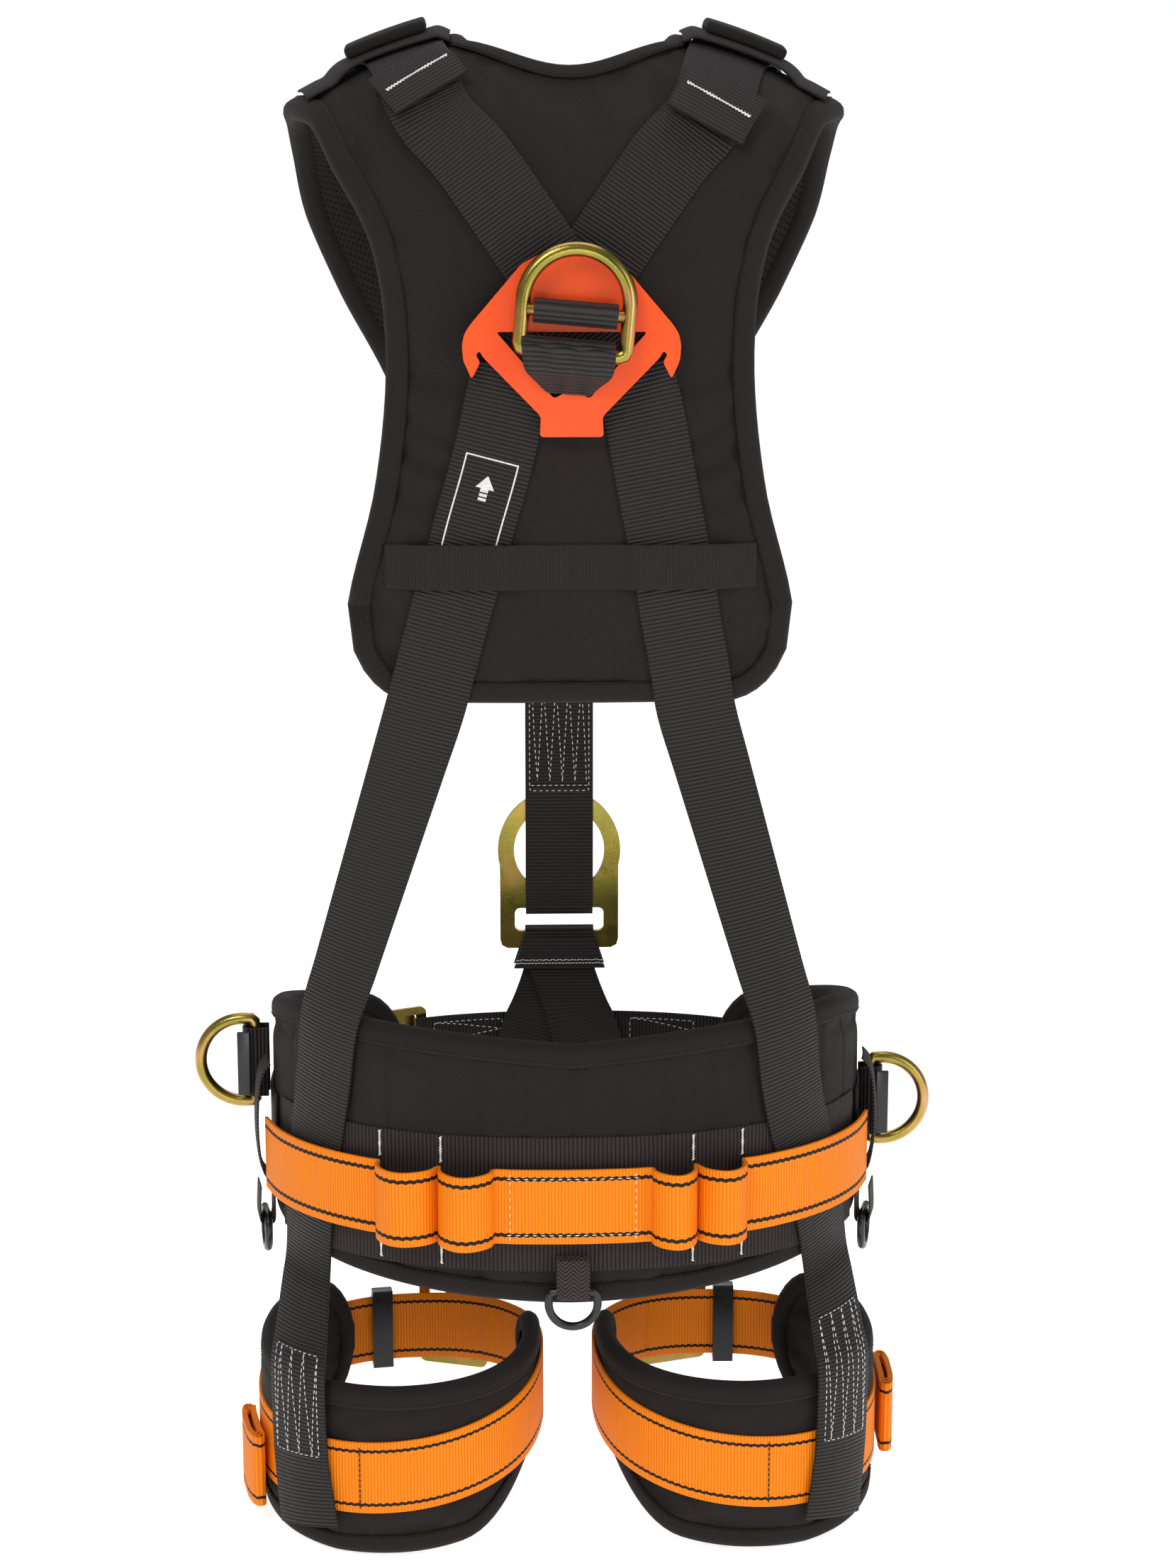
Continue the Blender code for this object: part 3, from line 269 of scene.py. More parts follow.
def woven(name, light, dark, pattern, pitch, depth=0.00035, rough=0.72, sheen=0.03, edge_lines=None):
    """Woven band, coloured dark in the weave's valleys as painted shade. pattern: ribs across, herringbone,
    twill or net. edge_lines: (place, half-width, colour).
    """
    mat, tree, shader = new_material(name, rough, Sheen_Weight=sheen, Sheen_Roughness=0.5,
                                     Specular_IOR_Level=0.22)
    uv = add(tree, "ShaderNodeUVMap", uv_map="UVMap")[0]
    xyz = add(tree, "ShaderNodeSeparateXYZ", {0: uv})
    u, v = xyz[0], xyz[1]
    turn = 2 * math.pi
    noise = add(tree, "ShaderNodeTexNoise", {"Vector": uv, "Scale": 60.0, "Detail": 3.0})[0]
    wobble = calc(tree, "MULTIPLY_ADD", noise, 0.0006, -0.0003)
    if pattern == "ribs":
        phase = calc(tree, "MULTIPLY", calc(tree, "ADD", v, wobble), turn / pitch)
        rib = calc(tree, "MULTIPLY_ADD", calc(tree, "SINE", phase), 0.5, 0.5)
        yarn = calc(tree, "SINE", calc(tree, "MULTIPLY_ADD", u, turn / 0.00095, phase))
        fine = calc(tree, "MULTIPLY_ADD", yarn, 0.12, 0.88)
        height = calc(tree, "MULTIPLY", calc(tree, "POWER", rib, 0.55), fine)
    elif pattern == "herringbone":
        fold = calc(tree, "PINGPONG", u, 0.0042)
        phase = calc(tree, "MULTIPLY", calc(tree, "ADD", v, fold), turn / pitch)
        height = calc(tree, "MULTIPLY_ADD", calc(tree, "SINE", phase), 0.5, 0.5)
    elif pattern == "net":
        a = calc(tree, "SINE", calc(tree, "MULTIPLY", u, turn / pitch))
        slanted = calc(tree, "ADD", v, calc(tree, "MULTIPLY", u, 0.5))
        b = calc(tree, "SINE", calc(tree, "MULTIPLY", slanted, turn / pitch))
        height = calc(tree, "SUBTRACT", 1.0, calc(tree, "MAXIMUM", calc(tree, "MULTIPLY", a, b), 0.0))
    else:
        a = calc(tree, "SINE", calc(tree, "MULTIPLY", calc(tree, "ADD", u, v), turn / pitch))
        b = calc(tree, "SINE", calc(tree, "MULTIPLY", calc(tree, "SUBTRACT", u, v), turn / (pitch * 0.72)))
        height = calc(tree, "MULTIPLY_ADD", calc(tree, "MULTIPLY_ADD", b, 0.35, a), 0.37, 0.5)
    blotch = add(tree, "ShaderNodeTexNoise", {"Vector": uv, "Scale": 9.0, "Detail": 4.0})[0]
    # Painted shade: the colour follows the weave's height, dark in its valleys and light on its ridges; the
    # blotch noise adds a real uneven tone.
    valley_shade_and_blotch = calc(tree, "MULTIPLY", height, calc(tree, "MULTIPLY_ADD", blotch, 0.5, 0.72), 0.0)
    valley_shade_and_blotch.node.use_clamp = True
    tone = add(tree, "ShaderNodeMix", {0: valley_shade_and_blotch, 6: linear(dark), 7: linear(light)}, data_type="RGBA")[2]
    if edge_lines:
        place, half, ink = edge_lines
        side = calc(tree, "SUBTRACT", calc(tree, "ABSOLUTE", u), place)
        wave = calc(tree, "SINE", calc(tree, "MULTIPLY", v, turn / 0.0042))
        off = calc(tree, "ABSOLUTE", calc(tree, "MULTIPLY_ADD", wave, 0.0003, side))
        mask = calc(tree, "LESS_THAN", off, half)
        # The edge lines are woven in with their own colour; the near-black 0A0706 between their ribs is painted
        # shade.
        ink_ribs = calc(tree, "SINE", calc(tree, "MULTIPLY", v, turn / 0.0021))
        ink_wave = calc(tree, "MULTIPLY_ADD", ink_ribs, 0.5, 0.5)
        ink_tone = add(tree, "ShaderNodeMix", {0: ink_wave, 6: linear("0A0706"), 7: linear(ink)},
                       data_type="RGBA")[2]
        tone = add(tree, "ShaderNodeMix", {0: mask, 6: tone, 7: ink_tone}, data_type="RGBA")[2]
        height = calc(tree, "MULTIPLY_ADD", mask, calc(tree, "MULTIPLY_ADD", ink_wave, 0.8, 0.5), height)
    tree.links.new(tone, shader.inputs["Base Color"])
    fuzz = add(tree, "ShaderNodeTexNoise", {"Vector": uv, "Scale": 2600.0, "Detail": 2.0})[0]
    height = calc(tree, "MULTIPLY_ADD", fuzz, 0.25, height)
    bump = add(tree, "ShaderNodeBump", {"Strength": 0.8, "Distance": depth, "Height": height})[0]
    tree.links.new(bump, shader.inputs["Normal"])
    return mat


# %% fabrics
# Each finish gives a ridge colour, then a much darker valley colour that is painted shade between the threads.
web_black = woven("polyester_webbing_black", "312B2B", "030303", "ribs", 0.0023, 0.0009, 0.5, 0.03)
web_orange = woven("polyester_webbing_orange", "F98E02", "E06A00", "ribs", 0.0019, 0.00028, 0.6, 0.0,
                   (0.0152, 0.00105, "2A1A14"))
elastic = woven("ribbed_elastic_black", "2A2524", "100E0E", "ribs", 0.0013, 0.00022, 0.8)
carrier_cloth = woven("ribbed_carrier_band_black", "3A3130", "0A0909", "ribs", 0.0024, 0.0006, 0.75)
oxford = woven("oxford_cover_black", "2E2725", "070505", "twill", 0.0015, 0.0005, 0.8)
bind_tape = woven("binding_tape_black", "27211F", "100D0D", "twill", 0.0010, 0.0002, 0.85)
herring = woven("herringbone_tape_black", "463D3A", "090707", "herringbone", 0.0024, 0.0004, 0.7)
spacer = woven("spacer_mesh_black", "221D1D", "040303", "net", 0.0034, 0.0007, 0.9)
print("fabrics", [m.name for m in bpy.data.materials if m.name.endswith("black")])

# %% [markdown]
# Hard finishes: yellow-passivated zinc on forged steel, moulded orange plastic, gloss black plastic, thread.

# %% hard finishes
zinc, tree, shader = new_material("yellow_zinc_steel", 0.27, 1.0)
coords = add(tree, "ShaderNodeTexCoord")[3]
cloud = add(tree, "ShaderNodeTexNoise", {"Vector": coords, "Scale": 38.0, "Detail": 2.0})[0]
facing = add(tree, "ShaderNodeLayerWeight", {"Blend": 0.35})[1]
mixed = calc(tree, "MULTIPLY_ADD", facing, 0.45, calc(tree, "MULTIPLY", cloud, 0.75))
ramp = add(tree, "ShaderNodeValToRGB", {"Fac": mixed})
stops = ramp[0].node.color_ramp
stops.elements[0].position, stops.elements[0].color = 0.22, linear("7F7A3A")
stops.elements[1].position, stops.elements[1].color = 0.80, linear("C9936E")
for at, ink in ((0.38, "94863C"), (0.50, "B08F4E"), (0.63, "C6A076")):
    stops.elements.new(at).color = linear(ink)
tree.links.new(ramp[0], shader.inputs["Base Color"])
grain = add(tree, "ShaderNodeTexNoise", {"Vector": coords, "Scale": 1500.0, "Detail": 3.0})[0]
bump = add(tree, "ShaderNodeBump", {"Strength": 0.35, "Distance": 0.0002, "Height": grain})[0]
tree.links.new(bump, shader.inputs["Normal"])
rough = calc(tree, "MULTIPLY_ADD", cloud, 0.22, 0.16)
tree.links.new(rough, shader.inputs["Roughness"])



def cloudy(name, rough, low, high, scale, detail=2.0, **extra):
    """Plain finish whose colour drifts between two tones; gives its tree, shader, coordinates and noise too."""
    mat, tree, shader = new_material(name, rough, **extra)
    coords = add(tree, "ShaderNodeTexCoord")[3]
    soft = add(tree, "ShaderNodeTexNoise", {"Vector": coords, "Scale": scale, "Detail": detail})[0]
    tone = add(tree, "ShaderNodeMix", {0: soft, 6: linear(low), 7: linear(high)}, data_type="RGBA")[2]
    tree.links.new(tone, shader.inputs["Base Color"])
    return mat, tree, shader, coords, soft


orange_plastic, tree, shader, coords, soft = cloudy("moulded_plastic_orange", 0.36, "E64400", "F45200", 26.0,
                                                    IOR=1.5, Specular_IOR_Level=0.35)
grain = add(tree, "ShaderNodeTexNoise", {"Vector": coords, "Scale": 900.0, "Detail": 2.0})[0]
bump = add(tree, "ShaderNodeBump", {"Strength": 0.12, "Distance": 0.0002, "Height": grain})[0]
tree.links.new(bump, shader.inputs["Normal"])

black_plastic, tree, shader, coords, soft = cloudy("gloss_plastic_black", 0.3, "0B0B0C", "18171A", 160.0, 3.0,
                                                   IOR=1.5)
tree.links.new(calc(tree, "MULTIPLY_ADD", soft, 0.2, 0.2), shader.inputs["Roughness"])

thread_white = cloudy("sewing_thread_white", 0.6, "B9B2A8", "FFFFF8", 1800.0)[0]
thread_black = cloudy("sewing_thread_black", 0.7, "070607", "1D1B1D", 1800.0)[0]
print_white = cloudy("white_print", 0.7, "A8A6A6", "F4F2F2", 700.0)[0]
print("hard finishes and threads ready")

# %% [markdown]
# ## Builders


# %% builders
def place(mesh, name, mat, body="harness", replaces=()):
    obj = bpy.data.objects.new(name, mesh)
    bpy.context.scene.collection.objects.link(obj)
    mesh.materials.append(mat)
    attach(obj, body)
    if replaces:
        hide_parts(*replaces)
    return obj


def mesh_of(name, bm, smooth=True):
    """A new mesh made of bm, which is freed."""
    mesh = bpy.data.meshes.new(name)
    bm.to_mesh(mesh)
    bm.free()
    if smooth:
        mesh.shade_smooth()
    return mesh


def thicken(obj, thick, side):
    solid = obj.modifiers.new("thickness", "SOLIDIFY")
    solid.thickness = thick
    solid.offset = side


def round_edges(obj, width, segments, harden=False):
    edge = obj.modifiers.new("rounded_edges", "BEVEL")
    edge.width = width
    edge.segments = segments
    edge.limit_method = "ANGLE"
    edge.angle_limit = math.radians(50)
    edge.harden_normals = harden


def refine(rows, along, wide):
    """Rows with more points: along per old step, wide columns in all."""
    out = []
    n = len(rows) - 1
    for j in range(n * along + 1):
        t = j / (n * along)
        columns = [spline([r[i] for r in rows], t) for i in range(len(rows[0]))]
        out.append([spline(columns, k / (wide - 1)) for k in range(wide)])
    return out


def outward(rows, inside):
    """Unit normals of a net of rows, away from inside(point)."""
    n, m = len(rows), len(rows[0])
    normals = []
    total = 0.0
    for j in range(n):
        line = []
        for i in range(m):
            a = rows[min(j + 1, n - 1)][i] - rows[max(j - 1, 0)][i]
            b = rows[j][min(i + 1, m - 1)] - rows[j][max(i - 1, 0)]
            normal = b.cross(a)
            total += normal.dot(rows[j][i] - inside(rows[j][i]))
            line.append(normal.normalized())
        normals.append(line)
    sign = 1.0 if total >= 0 else -1.0
    return [[v * sign for v in line] for line in normals], sign


def net_mesh(name, rows, sign, uv_of):
    """Open surface through rows of points, with a UV map in metres."""
    bm = bmesh.new()
    uv_layer = bm.loops.layers.uv.new("UVMap")
    nu, nv = len(rows[0]), len(rows)
    verts = bmesh.ops.create_grid(bm, x_segments=nu - 1, y_segments=nv - 1, size=1.0)["verts"]
    keys = {}
    for vert in verts:
        u = round((vert.co.x + 1) / 2 * (nu - 1))
        v = round((vert.co.y + 1) / 2 * (nv - 1))
        vert.co = rows[v][u]
        keys[vert] = (u, v)
    for face in bm.faces:
        for loop in face.loops:
            loop[uv_layer].uv = uv_of(*keys[loop.vert])
    if sign < 0:
        bmesh.ops.reverse_faces(bm, faces=bm.faces)
    return mesh_of(name, bm, smooth=False)


class Band:
    """A woven band through rows of points; point(u, v, lift) is a place on its outer face, in metres."""

    def __init__(self, name, rows, mat, thick, inside, replaces=(), along=3, wide=7, body="harness",
                 soft=0.00045):
        self.rows = refine(rows, along, wide)
        self.normals, sign = outward(self.rows, inside)
        self.thick = thick
        mid = wide // 2
        self.length = [0.0]
        for a, b in zip(self.rows, self.rows[1:]):
            self.length.append(self.length[-1] + (b[mid] - a[mid]).length)
        self.width = sum((self.rows[len(self.rows) // 2][i + 1] - self.rows[len(self.rows) // 2][i]).length
                         for i in range(wide - 1))
        mesh = net_mesh(name, self.rows, sign,
                        lambda u, v: ((u / (wide - 1) - 0.5) * self.width, self.length[v]))
        mesh.shade_smooth()
        self.obj = place(mesh, name, mat, body, replaces)
        thicken(self.obj, thick, 1.0)
        round_edges(self.obj, min(soft, thick * 0.45), 2)

    def point(self, u, v, lift=0.0):
        v = min(max(v, 0.0), self.length[-1] - 1e-6)
        j = max(i for i, at in enumerate(self.length) if at <= v)
        j = min(j, len(self.rows) - 2)
        f = (v - self.length[j]) / max(self.length[j + 1] - self.length[j], 1e-9)
        w = min(max(u / self.width + 0.5, 0.0), 1.0) * (len(self.rows[0]) - 1)
        i = min(int(w), len(self.rows[0]) - 2)
        g = w - i
        spot = self.rows[j][i].lerp(self.rows[j][i + 1], g).lerp(
            self.rows[j + 1][i].lerp(self.rows[j + 1][i + 1], g), f)
        normal = self.normals[j][i].lerp(self.normals[j + 1][i + 1], f)
        return spot + normal * (self.thick + lift)


def stitches(name, paths, mat, length=0.0026, gap=0.0012, radius=0.00034, body="harness"):
    """Thread laid along paths of points in short raised stitches."""
    bm = bmesh.new()
    for path in paths:
        spans = [(a, b, (b - a).length) for a, b in zip(path, path[1:]) if (b - a).length > 1e-6]
        total = sum(s[2] for s in spans)
        count = max(1, round(total / (length + gap)))
        step = total / count

        def at(d):
            for a, b, size in spans:
                if d <= size:
                    return a.lerp(b, d / size)
                d -= size
            return spans[-1][1]

        for k in range(count):
            a, b = at(k * step + gap * 0.5), at((k + 1) * step - gap * 0.5)
            run = b - a
            if run.length < 1e-5:
                continue
            turn = run.to_track_quat("Z", "Y").to_matrix().to_4x4()
            turn.translation = (a + b) / 2
            size = Matrix.Diagonal((radius, radius, run.length / 2 + radius * 0.4, 1.0))
            bmesh.ops.create_icosphere(bm, subdivisions=1, radius=1.0, matrix=turn @ size)
    return place(mesh_of(name, bm), name, mat, body)


def lines(band, spots, lift=0.0002, fine=8):
    """Polyline on a band's face through (u, v) places."""
    path = []
    for (u0, v0), (u1, v1) in zip(spots, spots[1:]):
        path += [band.point(lerp(u0, u1, k / fine), lerp(v0, v1, k / fine), lift) for k in range(fine)]
    return path + [band.point(*spots[-1], lift)]


def zigzag(v0, v1, half, count):
    """Corner points of a zigzag that fills a box on a band."""
    return [((-half if k % 2 else half), lerp(v0, v1, k / count)) for k in range(count + 1)]


def wave(v0, v1, half, legs):
    """Long Ws running along the band between v0 and v1."""
    return [(lerp(-half, half, k / legs), v1 if k % 2 else v0) for k in range(legs + 1)]


def box_w(band, v0, v1, half, legs, lift=0.0002):
    """Paths of a sewn box with a long zigzag inside it."""
    spots = [(-half, v0), (half, v0), (half, v1), (-half, v1), (-half, v0)]
    return [lines(band, spots, lift, 24), lines(band, wave(v0, v1, half, legs), lift, 24)]


def from_curve(name, curve, matrix, mat, body="harness", replaces=(), bevel=0.0):
    holder = bpy.data.objects.new(name + "_curve", curve)
    bpy.context.scene.collection.objects.link(holder)
    mesh = bpy.data.meshes.new_from_object(holder)
    bpy.data.objects.remove(holder)
    bpy.data.curves.remove(curve)
    bm = bmesh.new()
    bm.from_mesh(mesh)
    bmesh.ops.remove_doubles(bm, verts=bm.verts, dist=0.00002)
    bmesh.ops.recalc_face_normals(bm, faces=bm.faces)
    bmesh.ops.transform(bm, matrix=matrix, verts=bm.verts)
    bm.to_mesh(mesh)
    bm.free()
    mesh.name = name
    mesh.materials.clear()
    mesh.shade_smooth()
    obj = place(mesh, name, mat, body, replaces)
    if bevel:
        round_edges(obj, bevel, 3, True)
    return obj


def add_line(curve, points, closed=True):
    line = curve.splines.new("POLY")
    line.points.add(len(points) - 1)
    for point, co in zip(line.points, points):
        point.co = (*co, 1.0)
    line.use_cyclic_u = closed


def wire(name, path, radius, mat, matrix=Matrix(), closed=True, body="harness", replaces=(), sides=7):
    curve = bpy.data.curves.new(name, "CURVE")
    curve.dimensions = "3D"
    curve.bevel_depth = radius
    curve.bevel_resolution = sides
    curve.use_fill_caps = True
    add_line(curve, path, closed)
    return from_curve(name, curve, matrix, mat, body, replaces)


def plate(name, loops, thick, mat, matrix, body="harness", replaces=(), bevel=0.0007):
    curve = bpy.data.curves.new(name, "CURVE")
    curve.dimensions = "2D"
    curve.fill_mode = "BOTH"
    curve.extrude = thick / 2
    for loop in loops:
        add_line(curve, [(co[0], co[1], 0.0) for co in loop])
    return from_curve(name, curve, matrix, mat, body, replaces, bevel)


def arc(cx, cy, radius, start, end, count):
    return [(cx + radius * math.cos(math.radians(lerp(start, end, i / count))),
             cy + radius * math.sin(math.radians(lerp(start, end, i / count)))) for i in range(count + 1)]


def rounded(half_w, half_h, radius, count=6, cx=0.0, cy=0.0):
    loop = []
    for sx, sy, start in ((1, 1, 0), (-1, 1, 90), (-1, -1, 180), (1, -1, 270)):
        loop += arc(cx + sx * (half_w - radius), cy + sy * (half_h - radius), radius, start, start + 90, count)
    return loop


def fillet(points, radius, count=5):
    """Closed outline with every corner rounded."""
    out = []
    n = len(points)
    for i in range(n):
        p, a, b = Vector(points[i]), Vector(points[i - 1]), Vector(points[(i + 1) % n])
        cut = min(radius, (a - p).length * 0.45, (b - p).length * 0.45)
        start, end = p + (a - p).normalized() * cut, p + (b - p).normalized() * cut
        out += [tuple(start.lerp(p, t).lerp(p.lerp(end, t), t)) for t in (k / count for k in range(count + 1))]
    return out


def basis(right, up, at):
    """Placement whose X runs along right, Y along up and Z out of them."""
    right = Vector(right).normalized()
    out = right.cross(Vector(up)).normalized()
    matrix = Matrix((right, out.cross(right), out)).transposed().to_4x4()
    matrix.translation = at
    return matrix


def axis_inside(p):
    return Vector((0.0, 0.005, p.z))


def shoulder_inside(p):
    return Vector((p.x * 0.5, 0.0, min(p.z, 0.50)))


def leg_inside(side):
    return lambda p: Vector((0.102 * side, -0.028, p.z))


# %% [markdown]
# ## Pads
# Each pad starts as a closed shell that is a little smaller than the pad, remeshed and then inflated as cloth,
# held at its bound edge. The swelling is limited, so the straps still lie on it.


# %% pad builder
def solid_from(name, rows, thick, inside, skip=None):
    """Closed shell: an open net thickened towards inside(place), as a plain mesh."""
    sign = outward(rows, inside)[1]
    mesh = net_mesh(name, rows, sign, lambda u, v: (u, v))
    if skip:
        bm = bmesh.new()
        bm.from_mesh(mesh)
        width = len(rows[0])
        drop = [v for v in bm.verts if skip(v.index % width, v.index // width)]
        bmesh.ops.delete(bm, geom=drop, context="VERTS")
        bm.to_mesh(mesh)
        bm.free()
    obj = bpy.data.objects.new(name, mesh)
    bpy.context.scene.collection.objects.link(obj)
    thicken(obj, thick, -1.0)
    return obj


def baked(obj):
    """Replace an object's mesh with what its modifiers make of it."""
    deps = bpy.context.evaluated_depsgraph_get()
    mesh = bpy.data.meshes.new_from_object(obj.evaluated_get(deps))
    obj.modifiers.clear()
    old = obj.data
    obj.data = mesh
    bpy.data.meshes.remove(old)
    return obj


def inflate(obj, hold, reach, voxel=0.0045, pressure=4.0, frames=20, extra=0.0):
    """Remesh a closed shell and swell it as cloth; hold(co) is how firmly a place is sewn down, 0 to 1."""
    remesh = obj.modifiers.new("remesh", "REMESH")
    remesh.mode = "VOXEL"
    remesh.voxel_size = voxel
    baked(obj)
    ease = obj.modifiers.new("ease", "SMOOTH")
    ease.factor = 0.5
    ease.iterations = 3
    baked(obj)
    rest = [v.co.copy() for v in obj.data.vertices]
    group = obj.vertex_groups.new(name="sewn")
    for vert in obj.data.vertices:
        firm = hold(vert.co)
        if firm > 0.0:
            group.add([vert.index], firm, "REPLACE")
    cloth = obj.modifiers.new("cloth", "CLOTH")
    settings = cloth.settings
    settings.quality = 4
    settings.mass = 0.3
    settings.tension_stiffness = 12.0
    settings.compression_stiffness = 12.0
    settings.shear_stiffness = 4.0
    settings.bending_stiffness = 0.4
    settings.use_pressure = True
    settings.uniform_pressure_force = pressure
    settings.shrink_min = -extra
    settings.vertex_group_mass = "sewn"
    settings.effector_weights.gravity = 0.0
    cloth.collision_settings.use_collision = False
    cloth.point_cache.frame_start = 1
    cloth.point_cache.frame_end = frames
    for frame_no in range(1, frames + 1):
        bpy.context.scene.frame_set(frame_no)
    baked(obj)
    bpy.context.scene.frame_set(1)
    for vert, start in zip(obj.data.vertices, rest):
        move = vert.co - start
        limit = reach(start)
        if move.length > limit:
            vert.co = start + move.normalized() * limit
    obj.vertex_groups.clear()
    fine = obj.modifiers.new("fine", "SUBSURF")
    fine.levels = fine.render_levels = 1
    baked(obj)
    return obj


def press(obj, depth):
    """Move each vertex against its own normal by depth(co, normal)."""
    moves = [v.normal * -depth(v.co, v.normal) for v in obj.data.vertices]
    for vert, move in zip(obj.data.vertices, moves):
        vert.co += move


def finish_pad(obj, uv_of, mat, body, replaces):
    layer = obj.data.uv_layers.get("UVMap") or obj.data.uv_layers.new(name="UVMap")
    places = [uv_of(v.co) for v in obj.data.vertices]
    for loop in obj.data.loops:
        layer.data[loop.index].uv = places[loop.vertex_index]
    obj.data.materials.clear()
    obj.data.materials.append(mat)
    obj.data.shade_smooth()
    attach(obj, body)
    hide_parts(*replaces)
    print(obj.name, len(obj.data.vertices), "vertices")
    return obj


def binding(name, edge, replaces, reach=0.0085, inside_reach=0.0070):
    """Tape folded over an edge. edge: (outer corner, inner corner, outward direction), going round."""
    rows = []
    for top, low, out in edge + edge[:1]:
        deep = (top - low).normalized()
        rows.append([top - out * reach + deep * 0.0006, top - out * reach * 0.5 + deep * 0.0012,
                     top + deep * 0.0006 + out * 0.0004, top + out * 0.0026 - deep * 0.0018,
                     (top + low) / 2 + out * 0.0036,
                     low + out * 0.0026 + deep * 0.0018, low - deep * 0.0006 + out * 0.0004,
                     low - out * inside_reach - deep * 0.0004])
    tape = Tape(name, rows, replaces)
    keep = []
    for row in rows:
        keep.append(row[0].lerp(row[1], 0.42) + (row[0] - row[-1]).normalized() * 0.0011)
    stitches(name + "_stitching", [keep], thread_black, 0.0030, 0.0013, 0.00028)
    return tape


class Tape:
    """Binding tape through rows of section points."""

    def __init__(self, name, rows, replaces):
        rows = [[spline(row, k / 12) for k in range(13)] for row in rows]
        length = [0.0]
        for a, b in zip(rows, rows[1:]):
            length.append(length[-1] + (b[6] - a[6]).length)
        first, after = rows[0], rows[1]
        face = (after[3] - first[3]).cross(first[4] - first[2])
        sign = -1.0 if face.dot(first[0] - first[-1]) > 0 else 1.0
        mesh = net_mesh(name, rows, sign, lambda u, v: ((u / 12 - 0.5) * 0.024, length[v]))
        mesh.shade_smooth()
        self.obj = place(mesh, name, bind_tape, "harness", replaces)
        thicken(self.obj, 0.0007, 1.0)


def band_slot(band):
    return band


# %% [markdown]
# ### Back pad
# A padded panel with a V neckline that goes over the shoulders to the chest, lined with spacer mesh.

# %% back pad net
COLUMNS, NECK_COL, PANEL_ROWS, ARM_ROWS = 48, 9, 36, 42
T_LOW = pad_t(0.2845)
T_NECK, T_END = 7.0 / 15.0, 14.0 / 15.0


def pad_node(col, row, off):
    """Rows 0..PANEL_ROWS are the panel, the rest the shoulder parts."""
    s = 2.0 * col / COLUMNS - 1.0
    edge = NECK_COL * 2.0 / COLUMNS
    if row <= PANEL_ROWS:
        corner = max(0.0, (abs(s) - 0.70) / 0.30)
        low = T_LOW + 0.045 * (1.0 - math.sqrt(max(0.0, 1.0 - corner * corner)))
        drop = max(0.0, 1.0 - (abs(s) / edge) ** 2)
        t = lerp(low, T_NECK - 0.062 * drop, row / PANEL_ROWS)
        return pad_at(s * spline(PAD_OUTER, t), t, off)
    t = lerp(T_NECK, T_END, (row - PANEL_ROWS) / ARM_ROWS)
    outer, inner = spline(PAD_OUTER, t), spline(PAD_INNER, t)
    x = inner + (abs(s) - edge) / (1.0 - edge) * (outer - inner)
    if row == PANEL_ROWS + ARM_ROWS:
        t -= 0.018 * (abs((x - inner) / (outer - inner) - 0.5) * 2) ** 2
    return pad_at(math.copysign(x, s), t, off)


PAD_LAST, PAD_MID = PANEL_ROWS + ARM_ROWS, COLUMNS // 2


def in_neck(col, row):
    return row > PANEL_ROWS and abs(col - PAD_MID) < NECK_COL


def pad_rows(off):
    spot = Vector((0, 0, 0.6))
    return [[spot if in_neck(c, r) else pad_node(c, r, off) for c in range(COLUMNS + 1)]
            for r in range(PAD_LAST + 1)]


keys = [(c, 0) for c in range(COLUMNS + 1)]
keys += [(COLUMNS, r) for r in range(1, PAD_LAST + 1)]
keys += [(c, PAD_LAST) for c in range(COLUMNS - 1, PAD_MID + NECK_COL - 1, -1)]
keys += [(PAD_MID + NECK_COL, r) for r in range(PAD_LAST - 1, PANEL_ROWS - 1, -1)]
keys += [(c, PANEL_ROWS) for c in range(PAD_MID + NECK_COL - 1, PAD_MID - NECK_COL - 1, -1)]
keys += [(PAD_MID - NECK_COL, r) for r in range(PANEL_ROWS + 1, PAD_LAST + 1)]
keys += [(c, PAD_LAST) for c in range(PAD_MID - NECK_COL - 1, -1, -1)]
keys += [(0, r) for r in range(PAD_LAST - 1, 0, -1)]


def pad_rim(off_top, off_low):
    edge = []
    for i, key in enumerate(keys):
        top, low = pad_node(*key, off_top), pad_node(*key, off_low)
        run = (pad_node(*keys[(i + 1) % len(keys)], off_top) - pad_node(*keys[i - 1], off_top)).normalized()
        edge.append((top, low, run.cross(top - low).normalized()))
    return edge


pad_edge = pad_rim(-0.0006, -PAD_T - LINING_T + 0.0002)
edge_points = np.array([tuple((top + low) / 2) for top, low, out in pad_edge])
side_line = np.array([(spline(PAD_Y, k / 150), spline(PAD_Z, k / 150)) for k in range(151)])
side_run = np.concatenate([[0.0], np.cumsum(np.linalg.norm(np.diff(side_line, axis=0), axis=1))])


def side_place(co):
    """Length along the pad's side view nearest to a point."""
    spot = np.array([co.y, co.z])
    near = int(np.argmin(np.linalg.norm(side_line - spot, axis=1)))
    found = []
    for k in (max(near - 1, 0), min(near, len(side_line) - 2)):
        leg_run = side_line[k + 1] - side_line[k]
        f = min(max(float((spot - side_line[k]) @ leg_run / (leg_run @ leg_run)), 0.0), 1.0)
        found.append((float(np.linalg.norm(side_line[k] + f * leg_run - spot)),
                      float(lerp(side_run[k], side_run[k + 1], f))))
    return min(found)[1]


def edge_gap(points, co):
    return float(np.min(np.linalg.norm(points - np.array(co), axis=1)))


# %% back pad
def creases(co):
    """Soft folds across the pad's waist and under its shoulder parts."""
    total = 0.0
    for cz, slope, width, deep in ((0.412, 0.42, 0.006, 0.0030), (0.430, 0.55, 0.005, 0.0020),
                                   (0.458, 0.30, 0.006, 0.0022), (0.392, 0.20, 0.007, 0.0016)):
        if co.y < 0 and abs(co.x) > 0.045:
            away = co.z - (cz + slope * (abs(co.x) - 0.075))
            fade = min((abs(co.x) - 0.045) / 0.025, 1.0)
            total += deep * fade * math.exp(-(away / width) ** 2)
    return total


